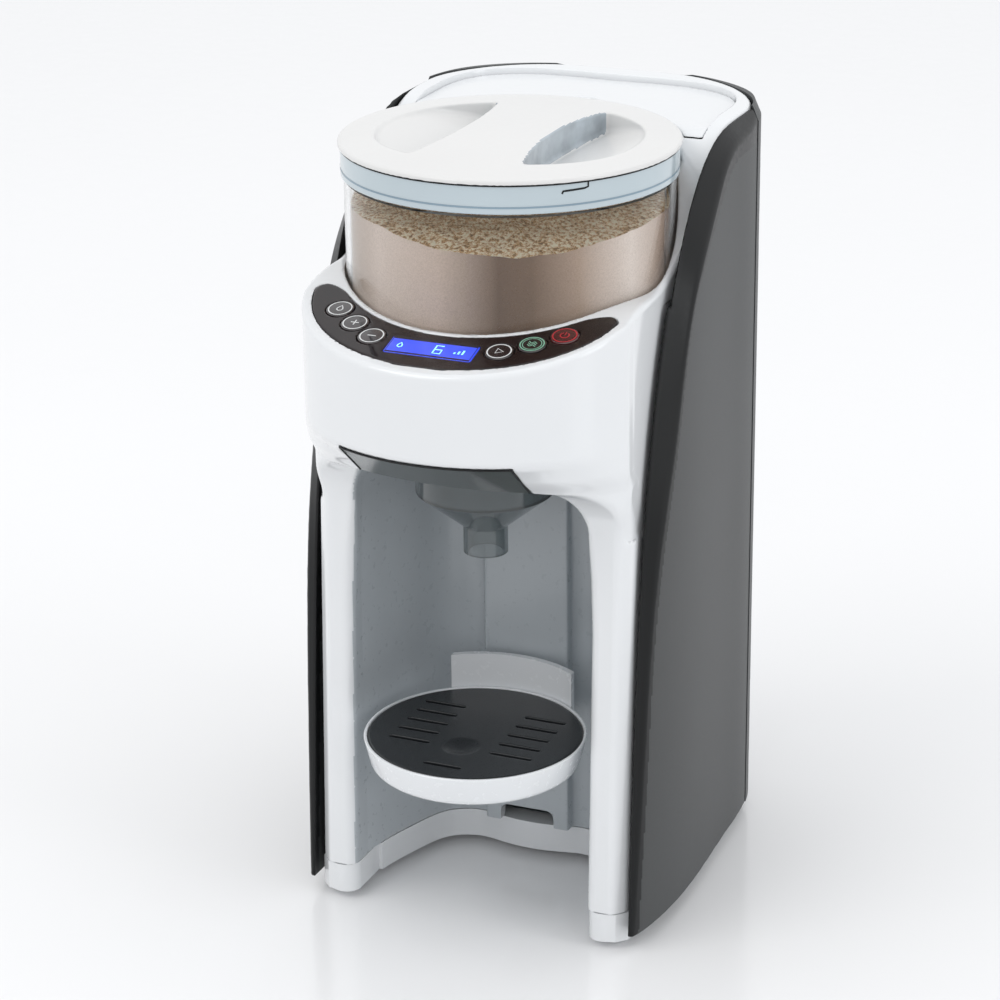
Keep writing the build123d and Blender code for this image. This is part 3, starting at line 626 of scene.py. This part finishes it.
def fascia_field(x, y, z):
    """Crescent plate in the panel's plane, with holes for the buttons and a window for the display."""
    height = panel_height(y, z)
    panel = meet(fascia_plan(x, y, -0.05), slab(height, -2.4, 0.05), 0.5)
    for bx, by in BUTTONS.values():
        panel = cut(panel, np.hypot(np.abs(x) - bx, slope_place(y, z, by)) - 6.6, 0.3)
    window = meet(np.abs(x) - 20.2, np.abs(slope_place(y, z, DISPLAY_Y)) - 6.2, 0.8)
    return cut(panel, window, 0.2)


def symbols():
    """Plain marks for the buttons, as ribbons about each button's middle."""
    drop = [(0, 2.3), (0.75, 1.0), (1.3, -0.1), (1.2, -1.2),
            (0, -1.9), (-1.2, -1.2), (-1.3, -0.1), (-0.75, 1.0)]
    bar = [(-1.9, 0), (1.9, 0)]
    wave = [(t, 0.5 * math.sin(t * 2.4)) for t in np.linspace(-2, 2, 24)]
    return {
        "outer_left": [stroke(drop, 0.5, True)],
        "mid_left": [stroke(bar, 0.55), stroke([(0, -1.9), (0, 1.9)], 0.55)],
        "inner_left": [stroke(bar, 0.55)],
        "inner_right": [stroke([(-1.2, -1.8), (-1.2, 1.8), (1.9, 0)], 0.5, True)],
        "mid_right": [stroke(np.array(wave) + (0, h), 0.4) for h in (-1.2, 0, 1.2)],
        "outer_right": [stroke(arc_points(1.9, 120, 420, 24), 0.5), stroke([(0, 0.4), (0, 2.5)], 0.5)],
    }


def make_panel():
    axes = [grid_axis((-71.4, 71.4, 0.75)), grid_axis((-100.6, -46, 0.75)), grid_axis((279, 298.5, 0.6))]
    piece = solid("fascia", fascia_field, axes, MATERIALS["fascia_black"])
    stands_for(piece, "housing", "fascia_black", "control_fascia")
    cap = [(0, -7.2), (2.4, -7.2), (2.4, -1.5), (6.25, -1.5), (6.25, -0.4),
           (6.1, 0.05), (5.6, 0.32), (4.6, 0.4), (0, 0.4)]
    inks = {"outer_right": "print_red", "mid_right": "print_green"}
    for name, marks in symbols().items():
        which, hand = name.split("_")
        x, y = BUTTONS[which]
        x = -x if hand == "left" else x
        finish = "button_red" if name == "outer_right" else "button_clear"
        button = lathed("key_" + name, cap, MATERIALS[finish], on_panel(x, y), 48)
        stands_for(button, "button_" + name, "button_clear", "button_" + name)
        rings = [stroke(arc_points(5.1), 0.55, True)]
        if name == "mid_right":
            rings.append(stroke(arc_points(4.1), 0.35, True))
        ink = MATERIALS[inks.get(name, "print_white")]
        printed("print_" + name, rings + marks, on_panel(x, y, 0.44), ink, "button_" + name, "button_clear")
    make_display()


def make_display():
    def lens(x, y, z):
        outline = meet(np.abs(x) - 20.0, np.abs(slope_place(y, z, DISPLAY_Y)) - 6.0, 1.0)
        return meet(outline, slab(panel_height(y, z), -1.8, 0.0), 0.25)
    axes = [grid_axis((-20.6, 20.6, 0.7)), grid_axis((-93.2, -79.2, 0.6)), grid_axis((281, 289.5, 0.5))]
    piece = solid("lens", lens, axes, MATERIALS["display_glass"])
    stands_for(piece, "housing", "display_glass", "display_lens")
    edge = stroke([(-19.3, -5.3), (19.3, -5.3), (19.3, 5.3), (-19.3, 5.3)], 1.1, True)
    printed("lens_border", [edge], on_panel(0, DISPLAY_Y, 0.03), MATERIALS["fascia_black"],
            "housing", "fascia_black")
    tall, wide = 2.9, 1.7
    six = [(wide, tall), (-wide, tall), (-wide, -tall), (wide, -tall), (wide, 0), (-wide, 0)]
    digit = stroke(np.array(six) + (3.2, 0), 0.75)
    drop = np.array([(0, 2.6), (1.2, 0.4), (1.3, -0.9), (0, -1.9), (-1.3, -0.9), (-1.2, 0.4)])
    drop = stroke(drop * 0.8 + (-14.5, 0), 0.6, True)
    level = [stroke([(a, -1.6), (a, -1.6 + b)], 0.9) for a, b in ((11.0, 1.2), (12.8, 2.2), (14.6, 3.2))]
    printed("display_marks", [digit, drop, *level], on_panel(0, DISPLAY_Y, 0.04), MATERIALS["display_cyan"],
            "housing", "display_glass")


# ---------------------------------------------------------------- powder

def make_powder():
    """Heap of powder: a lumpy top that meets the wall at a wandering height, smooth sides and a hollow base."""
    rng = np.random.default_rng(11)
    peak, edge = 334.5, 69.8
    turns, radii = 400, np.linspace(1.2, edge, 78)
    turn = np.linspace(0, 2 * math.pi, turns, endpoint=False)
    angle = (np.degrees(turn) + 180) % 360 - 180
    contact = np.interp(angle, (-180, -90, -30, -10, 0, 26, 40, 55, 90, 180),
                        (331, 331, 329.5, 326, 324.4, 322.5, 323.6, 326, 330, 331))
    r, a = np.meshgrid(radii, turn, indexing="ij")
    x, y = r * np.sin(a), -r * np.cos(a)
    share = (r / edge) ** 2.4
    height = peak * (1 - share) + contact[None] * share
    for _ in range(26):
        way, length = rng.uniform(0, 2 * math.pi), rng.uniform(5, 20)
        phase = rng.uniform(0, 2 * math.pi)
        wave = np.cos((x * math.cos(way) + y * math.sin(way)) * 2 * math.pi / length + phase)
        height += wave * 0.016 * length * (1 - 0.8 * share)
    height += rng.uniform(-0.45, 0.45, height.shape) * (1 - 0.85 * share)
    top = np.stack([x, y, height], 2).reshape(-1, 3)
    sides = [(69.85, 300), (69.9, 277.7), (57.5, 277.7), (57.5, 303)]
    rings = [np.stack([q * np.sin(turn), -q * np.cos(turn), np.full(turns, h)], 1) for q, h in sides]
    points = np.concatenate([top, *rings, [(0, 0, peak)], [(0, 0, 303)]])
    count = len(radii) + len(sides)
    faces = ring_faces(count, turns)
    faces += [(len(points) - 2, k, (k + 1) % turns) for k in range(turns)]
    last = (count - 1) * turns
    faces += [(last + k, len(points) - 1, last + (k + 1) % turns) for k in range(turns)]
    piece = new_mesh("powder_heap", points, faces, MATERIALS["powder"])
    piece.data.materials.append(MATERIALS["powder_side_painted_light"])
    # Side faces get the powder side material, with its painted shade and highlight bands.
    for face in piece.data.polygons[(len(radii) - 1) * turns:(count - 1) * turns]:
        face.material_index = 1
    piece.data.set_sharp_from_angle(angle=math.radians(50))
    stands_for(piece, "hopper", "powder", "formula_powder")


# ---------------------------------------------------------------- drip tray and funnel

def grille_field(x, y, z):
    """Disc with two columns of rounded slots, one slot in front and a dished dimple."""
    body = disc(x, y, z, 0, TRAY_Y, 48.5, 89.5, 91.9, 0.8)
    for row in range(5):
        at = -63.5 + 10.1 * row
        line = np.maximum(np.abs(np.abs(x) - 24.7) - 8.8, 0)
        body = cut(body, np.hypot(line, y - at) - 1.2, 0.4)
    body = cut(body, np.hypot(np.maximum(np.abs(x) - 7.8, 0), y + 83) - 1.2, 0.4)
    bowl = np.sqrt(x * x + (y + 62) ** 2 + (z - 109.5) ** 2) - 19.4
    body = np.minimum(body, disc(x, y, z, 0, -62, 9.5, 89.5, 91.5, 0.4))
    return cut(body, bowl, 0.6)


def make_tray():
    axes = [grid_axis((-49, 49, 0.7)), grid_axis((-95, 3.2, 0.7)), grid_axis((88.9, 92.6, 0.45))]
    piece = solid("grille", grille_field, axes, MATERIALS["grille_dark"])
    stands_for(piece, "grille", "grille_dark", "drip_grille")
    rim = [(43, 77), (45.4, 77.9), (47.1, 79.3), (47.8, 80.7), (50.2, 90.8), (50.4, 91.6), (50.0, 92),
           (49.2, 92), (48.9, 91.6), (48.9, 89.3), (46, 89.3), (44.4, 80.6), (43.2, 79.5), (0, 79.5)]
    bowl = lathed("bowl", [(0, 77), *rim], MATERIALS["tray_white"], lambda p: p + (0, TRAY_Y, 0), 128, 40)
    stands_for(bowl, "tray", "tray_white", "tray_bowl")


def chin_point(x, z):
    depth = CHIN_B + (z - HOOD_BOTTOM) * (HOOD_B - CHIN_B) / (HOOD_BREAK - HOOD_BOTTOM)
    return (x, HOOD_Y - depth * math.sqrt(1 - (x / HOOD_A) ** 2), z)


def side_view(points):
    """Outline, seen from the side, of all that is behind and below a swept edge."""
    sweep = spline(points, (0.07, 1), (1, 0), 120)
    return Outline(np.concatenate([sweep, [(150, points[-1][1]), (150, -10), (points[0][0], -10)]]))


def clad_outlines():
    """The cladding in plan, its swept inner edge and the outer edge of its bevel."""
    edge = spline([(79.6, -58), (84.0, -42), (86.7, -15), (84.5, 60), (72, 119), (45, 138), (0, 141)],
                  (0.45, 1), (-1, 0), 120)
    plan = mirrored(edge, (-79.6, -58), (79.6, -58))
    sweep = [(-57, 9), (-51, 90), (-42.7, 177), (-30.4, 242), (-11.9, 295), (12, 333), (34, 350), (62, TOP_Z)]
    bevel = [(-55.5, 9), (-49, 90), (-38.5, 177), (-20, 242), (-1.5, 295), (27, 323.5), (46, 338), (66, 343)]
    return Outline(plan), side_view(sweep), side_view(bevel)


def make_sides():
    """Dark cladding on each side, split into the gloss bevel and the satin panel."""
    plan, sweep, bevel = clad_outlines()

    def field(x, y, z):
        side = np.abs(x)
        share = np.clip((side - 79) / 8, 0, 1)
        edge = (1 - share) * sweep(y, z) + share * bevel(y, z)
        clad = meet(meet(edge, plan(x, y), 1.4), np.maximum(CLAD_X - side, 9 - z), 0.5)
        clad = np.maximum(clad, y - CLAD_REAR)
        return np.maximum(clad, np.minimum(0.35 - DECK(x, y), z - SEAM_Z))

    for side, low, high in (("left", -88.2, -77.2), ("right", 77.2, 88.2)):
        axes = [grid_axis((low, high, 0.85)), grid_axis((-59, CLAD_REAR + 1, 1.3)),
                grid_axis((8, 357.4, 1.3))]
        spots, faces = contour(field, axes)
        normals = corner_normals(field, spots, faces)
        middle = spots[faces].mean(1)
        trim = bevel(middle[:, 1], middle[:, 2]) > -3.0
        for name, chosen, node, finish in (("bevel_", trim, "edge_trim_", "black_gloss"),
                                           ("flank_", ~trim, "side_panel_", "dark_satin")):
            used, where = np.unique(faces[chosen], return_inverse=True)
            corners = normals.reshape(len(faces), 4, 3)[chosen].reshape(-1, 3)
            piece = new_mesh(name + side, spots[used], where.reshape(-1, 4), MATERIALS[finish], corners)
            stands_for(piece, "housing", finish, node + side)


def make_funnel():
    """Dark line round the funnel's cover; the funnel and the cover are CAD nodes."""
    side, low, high = 39.7, 223.3, 240.2
    left = [chin_point(-side, z) for z in np.linspace(low, high, 12)]
    top = [chin_point(x, high) for x in np.linspace(-side, side, 60)]
    right = [chin_point(side, z) for z in np.linspace(high, low, 12)]
    for name, path in (("left", left), ("top", top), ("right", right)):
        stands_for(tube("cover_edge_" + name, path, 0.42, MATERIALS["black_gloss"]), "funnel", "black_gloss")


# ---------------------------------------------------------------- materials

def nodes_of(material):
    material.use_nodes = True
    tree = material.node_tree
    return tree, tree.nodes["Principled BSDF"]


def noise(tree, scale, detail=2.0, roughness=0.5, stretch=None):
    """Procedural noise in object coordinates; scale is features per metre."""
    coords = tree.nodes.new("ShaderNodeTexCoord")
    node = tree.nodes.new("ShaderNodeTexNoise")
    node.inputs["Scale"].default_value = scale
    node.inputs["Detail"].default_value = detail
    node.inputs["Roughness"].default_value = roughness
    source = coords.outputs["Object"]
    if stretch:
        mapping = tree.nodes.new("ShaderNodeMapping")
        mapping.inputs["Scale"].default_value = stretch
        tree.links.new(source, mapping.inputs["Vector"])
        source = mapping.outputs["Vector"]
    tree.links.new(source, node.inputs["Vector"])
    return node.outputs["Fac"]


def mapped(tree, value, low, high, start=0.3, end=0.7):
    node = tree.nodes.new("ShaderNodeMapRange")
    node.inputs["From Min"].default_value = start
    node.inputs["From Max"].default_value = end
    node.inputs["To Min"].default_value = low
    node.inputs["To Max"].default_value = high
    tree.links.new(value, node.inputs["Value"])
    return node.outputs["Result"]


def colours(tree, value, stops):
    ramp = tree.nodes.new("ShaderNodeValToRGB")
    elements = ramp.color_ramp.elements
    while len(elements) < len(stops):
        elements.new(0.5)
    for element, (place, colour) in zip(elements, stops):
        element.position = place
        element.color = (*colour, 1)
    tree.links.new(value, ramp.inputs["Fac"])
    return ramp.outputs["Color"]


def bumped(tree, shader, value, distance, strength=1.0):
    bump = tree.nodes.new("ShaderNodeBump")
    bump.inputs["Distance"].default_value = distance
    bump.inputs["Strength"].default_value = strength
    tree.links.new(value, bump.inputs["Height"])
    tree.links.new(bump.outputs["Normal"], shader.inputs["Normal"])


def shade(colour, factor):
    return tuple(min(1.0, c * factor) for c in colour)


def moulded(name, colour, rough, grain=900, bump=0.00001, tint=0.03, rough_spread=0.04, patch=14, **fixed):
    """Moulded plastic or metal: slow colour drift, fine grain in the gloss, and a fine surface texture."""
    material = bpy.data.materials.new(name)
    tree, shader = nodes_of(material)
    drift = noise(tree, patch, 3)
    base = colours(tree, drift, [(0.3, shade(colour, 1 - tint)), (0.7, shade(colour, 1 + tint))])
    tree.links.new(base, shader.inputs["Base Color"])
    fine = noise(tree, grain, 3, 0.6)
    gloss = mapped(tree, fine, max(0.0, rough - rough_spread), rough + rough_spread)
    tree.links.new(gloss, shader.inputs["Roughness"])
    bumped(tree, shader, fine, bump)
    for key, value in fixed.items():
        shader.inputs[key.replace("_", " ")].default_value = value
    return material


def brushed(name, colour, rough, stretch):
    material = moulded(name, colour, rough, grain=500, bump=0.000004, tint=0.06, Metallic=1.0)
    tree, shader = nodes_of(material)
    lines = noise(tree, 900, 4, 0.6, stretch)
    tree.links.new(mapped(tree, lines, rough - 0.08, rough + 0.12), shader.inputs["Roughness"])
    bumped(tree, shader, lines, 0.00002)
    return material


def circuit_green():
    """Solder mask with a faint pattern of tracks under it."""
    material = moulded("circuit_green", (0.02, 0.12, 0.05), 0.35, tint=0.1)
    tree, shader = nodes_of(material)
    coords = tree.nodes.new("ShaderNodeTexCoord")
    cells = tree.nodes.new("ShaderNodeTexVoronoi")
    cells.distance = "CHEBYCHEV"
    cells.inputs["Scale"].default_value = 220
    tree.links.new(coords.outputs["Object"], cells.inputs["Vector"])
    base = colours(tree, cells.outputs["Distance"], [(0.2, (0.03, 0.2, 0.07)), (0.55, (0.012, 0.09, 0.035))])
    tree.links.new(base, shader.inputs["Base Color"])
    return material


def powder_top():
    """Loose granules: golden and brown grains over a lumpy surface, with a faint painted glow."""
    # The emission is a faint painted glow that brightens the powder's top.
    material = moulded("powder", (0.5, 0.34, 0.18), 0.9,
                       Emission_Color=(1.0, 0.7, 0.35, 1), Emission_Strength=0.05)
    tree, shader = nodes_of(material)
    grains = noise(tree, 520, 5, 0.75)
    tone = colours(tree, grains, [
        (0.38, (0.16, 0.065, 0.02)), (0.46, (0.62, 0.34, 0.12)), (0.56, (1.0, 0.92, 0.74))])
    tree.links.new(tone, shader.inputs["Base Color"])
    bumped(tree, shader, grains, 0.0012)
    return material


def powder_side_painted_light():
    """Powder pressed against the wall: fine grained, with colour bands laid across the camera's view: a browner
    painted shade band in the middle and at one edge, painted highlight bands either side, and a faint painted
    glow.
    """
    # The emission is a faint painted glow that brightens the powder's side.
    material = moulded("powder_side_painted_light", (0.6, 0.48, 0.4), 0.85,
                       Emission_Color=(1.0, 0.86, 0.76, 1), Emission_Strength=0.05)
    tree, shader = nodes_of(material)
    # turn is the camera's azimuth, so the bands run across the camera's view.
    turn = 0.405
    coords = tree.nodes.new("ShaderNodeTexCoord")
    mapping = tree.nodes.new("ShaderNodeMapping")
    mapping.inputs["Rotation"].default_value = (0, 0, -turn)
    mapping.inputs["Location"].default_value = (-HOPPER_Y * MM * math.sin(turn), 0, 0)
    split = tree.nodes.new("ShaderNodeSeparateXYZ")
    tree.links.new(coords.outputs["Object"], mapping.inputs["Vector"])
    tree.links.new(mapping.outputs["Vector"], split.inputs["Vector"])
    place = mapped(tree, split.outputs["X"], 0, 1, -0.07, 0.07)
    # Painted shade band in the middle and at one edge, painted highlight bands either side.
    painted_light_bands = colours(tree, place, [
        (0.0, (0.4, 0.3, 0.22)), (0.1, (0.85, 0.72, 0.64)), (0.28, (0.7, 0.56, 0.47)),
        (0.46, (0.13, 0.068, 0.034)), (0.56, (0.17, 0.095, 0.05)), (0.7, (0.5, 0.36, 0.27)),
        (0.86, (1.0, 0.88, 0.8)), (0.95, (0.6, 0.45, 0.36)), (1.0, (0.15, 0.07, 0.04))])
    speck = colours(tree, noise(tree, 1400, 4, 0.7), [(0.3, (0.8, 0.78, 0.76)), (0.6, (1.0, 1.0, 1.0))])
    mix = tree.nodes.new("ShaderNodeMix")
    mix.data_type, mix.blend_type = "RGBA", "MULTIPLY"
    mix.inputs[0].default_value = 1.0
    tree.links.new(painted_light_bands, mix.inputs[6])
    tree.links.new(speck, mix.inputs[7])
    tree.links.new(mix.outputs[2], shader.inputs["Base Color"])
    return material


def make_materials():
    made = {}
    made["white_shell"] = moulded(
        "white_shell", (0.79, 0.805, 0.82), 0.16, grain=260, bump=0.000012, tint=0.012, rough_spread=0.03,
        Coat_Weight=0.6, Coat_Roughness=0.06)
    # Darker grey for the bay's walls: painted shade inside the bay, whose moulding is the same white as the
    # shell.
    made["bay_painted_shade"] = moulded(
        "bay_painted_shade", (0.47, 0.505, 0.53), 0.3, grain=300, bump=0.000012, tint=0.02,
        Coat_Weight=0.3, Coat_Roughness=0.15)
    made["lid_white"] = moulded(
        "lid_white", (0.74, 0.735, 0.725), 0.32, grain=320, bump=0.000014, tint=0.012,
        Coat_Weight=0.35, Coat_Roughness=0.12)
    # Dark blue-grey for the scoops' steep inner walls: painted shade on the lid's white.
    made["lid_scoop_painted_shade"] = moulded(
        "lid_scoop_painted_shade", (0.36, 0.41, 0.45), 0.2, grain=200, bump=0.00001, tint=0.3, patch=60, Coat_Weight=0.5)
    made["ring_dark"] = moulded("ring_dark", (0.24, 0.33, 0.4), 0.2, tint=0.1)
    made["dark_satin"] = moulded(
        "dark_satin", (0.04, 0.043, 0.044), 0.45, grain=2600, bump=0.00005, tint=0.08, rough_spread=0.05)
    made["black_gloss"] = moulded(
        "black_gloss", (0.004, 0.0045, 0.005), 0.34, grain=500, bump=0.00001, tint=0.2,
        Specular_IOR_Level=0.3)
    made["fascia_black"] = moulded(
        "fascia_black", (0.012, 0.006, 0.006), 0.08, grain=300, bump=0.000006, tint=0.35, patch=40,
        Coat_Weight=0.3, Coat_Roughness=0.03, Specular_IOR_Level=0.3)
    made["button_clear"] = moulded(
        "button_clear", (0.014, 0.007, 0.008), 0.1, grain=600, bump=0.000008, tint=0.3, patch=60,
        Coat_Weight=1.0, Coat_Roughness=0.04)
    made["button_red"] = moulded(
        "button_red", (0.07, 0.004, 0.006), 0.1, grain=600, bump=0.000008, tint=0.3, patch=60,
        Coat_Weight=1.0, Coat_Roughness=0.04)
    made["print_white"] = moulded("print_white", (0.78, 0.8, 0.8), 0.3, tint=0.04)
    made["print_green"] = moulded("print_green", (0.24, 0.5, 0.36), 0.3, tint=0.06)
    made["print_red"] = moulded("print_red", (0.5, 0.03, 0.04), 0.3, tint=0.06)
    made["display_body"] = moulded("display_body", (0.03, 0.05, 0.3), 0.5)
    made["circuit"] = circuit_green()
    made["smoke_plastic"] = moulded(
        "smoke_plastic", (0.42, 0.46, 0.47), 0.07, grain=500, bump=0.00001, tint=0.04,
        Transmission_Weight=0.9, IOR=1.5)
    made["clear_plastic"] = moulded(
        "clear_plastic", (0.97, 0.975, 0.975), 0.025, grain=90, bump=0.000015, tint=0.006, rough_spread=0.015,
        Transmission_Weight=1.0, IOR=1.28, Specular_IOR_Level=0.35)
    made["blue_grey_ring"] = moulded(
        "blue_grey_ring", (0.5, 0.58, 0.62), 0.16, grain=200, bump=0.00001, tint=0.03,
        Coat_Weight=0.4, Coat_Roughness=0.08)
    made["grille_dark"] = moulded(
        "grille_dark", (0.018, 0.02, 0.022), 0.3, grain=1600, bump=0.00003, tint=0.12)
    made["tray_white"] = moulded(
        "tray_white", (0.8, 0.82, 0.84), 0.25, grain=300, bump=0.000012, tint=0.012,
        Coat_Weight=0.4, Coat_Roughness=0.1)
    made["seal_rubber"] = moulded("seal_rubber", (0.6, 0.62, 0.62), 0.6, bump=0.00004, tint=0.04)
    made["foot_rubber"] = moulded("foot_rubber", (0.42, 0.43, 0.44), 0.6, bump=0.00005, tint=0.06)
    made["steel"] = brushed("steel", (0.55, 0.55, 0.56), 0.28, (1, 1, 0.03))
    made["inner_grey"] = moulded("inner_grey", (0.25, 0.26, 0.28), 0.5, bump=0.00004, tint=0.06)
    made["nylon"] = moulded("nylon", (0.72, 0.7, 0.64), 0.42, bump=0.00003, tint=0.03, Subsurface_Weight=0.1)
    made["hose_silicone"] = moulded(
        "hose_silicone", (0.7, 0.72, 0.7), 0.38, bump=0.00002, Transmission_Weight=0.35)
    made["black_plastic"] = moulded("black_plastic", (0.012, 0.012, 0.013), 0.38, bump=0.00004, tint=0.1)
    made["powder"] = powder_top()
    made["powder_side_painted_light"] = powder_side_painted_light()
    made["display_glass"] = moulded(
        "display_glass", (0.02, 0.05, 0.6), 0.08, Coat_Weight=1.0,
        Emission_Color=(0.012, 0.05, 0.7, 1), Emission_Strength=0.8)
    made["display_cyan"] = moulded(
        "display_cyan", (0.3, 0.7, 0.95), 0.3, Emission_Color=(0.25, 0.7, 1.0, 1), Emission_Strength=0.8)
    made["cover_smoke"] = moulded(
        "cover_smoke", (0.13, 0.145, 0.145), 0.12, grain=500, bump=0.00001, tint=0.06,
        Transmission_Weight=0.35)
    return made


def dress_cad(made):
    """Gives every CAD node the material of its slot in the record."""
    for part in frame["record"]["subparts"]:
        node = frame["nodes"][part["node"]]
        node.data.materials.clear()
        node.data.materials.append(made[part["material_slot"]])
    cover = frame["nodes"]["funnel_cover"].data
    cover.materials.clear()
    cover.materials.append(made["cover_smoke"])


# ---------------------------------------------------------------- stage

def area_light(name, spot, aim, size, power, colour=(1, 1, 1)):
    data = bpy.data.lights.new(name, "AREA")
    data.shape = "RECTANGLE"
    data.size, data.size_y = size
    data.energy = power
    data.color = colour
    light = bpy.data.objects.new(name, data)
    light.location = spot
    light.rotation_mode = "QUATERNION"
    light.rotation_quaternion = (Vector(aim) - Vector(spot)).to_track_quat("-Z", "Y")
    bpy.context.scene.collection.objects.link(light)


def make_stage():
    world = bpy.data.worlds.new("studio")
    world.use_nodes = True
    background = world.node_tree.nodes["Background"]
    background.inputs["Color"].default_value = (0.975, 0.985, 1.0, 1)
    background.inputs["Strength"].default_value = 0.95
    bpy.context.scene.world = world
    bpy.context.scene.view_settings.view_transform = "Standard"

    mesh = bpy.data.meshes.new("floor")
    half = 8.0
    corners = [(-half, -half, 0), (half, -half, 0), (half, half, 0), (-half, half, 0)]
    mesh.from_pydata(corners, [], [(0, 1, 2, 3)])
    floor = bpy.data.objects.new("floor", mesh)
    bpy.context.scene.collection.objects.link(floor)
    mesh.materials.append(moulded("floor_white", (0.9, 0.9, 0.905), 0.16, grain=60, bump=0.00001, tint=0.004,
                                  rough_spread=0.03, patch=2))

    area_light("key", (-1.1, -1.6, 2.3), (0, 0, 0.15), (1.6, 1.2), 13, (1.0, 0.99, 0.97))
    area_light("overhead", (0.1, 0.3, 2.4), (0, 0, 0.1), (2.2, 2.0), 5)
    area_light("side", (2.2, -0.3, 1.1), (0, 0, 0.2), (0.8, 1.6), 7, (0.96, 0.98, 1.0))


make_camera()
MATERIALS = make_materials()
dress_cad(MATERIALS)
make_stage()
make_body()
make_lid()
make_tank_lid()
make_panel()
make_powder()
make_tray()
make_funnel()
make_sides()
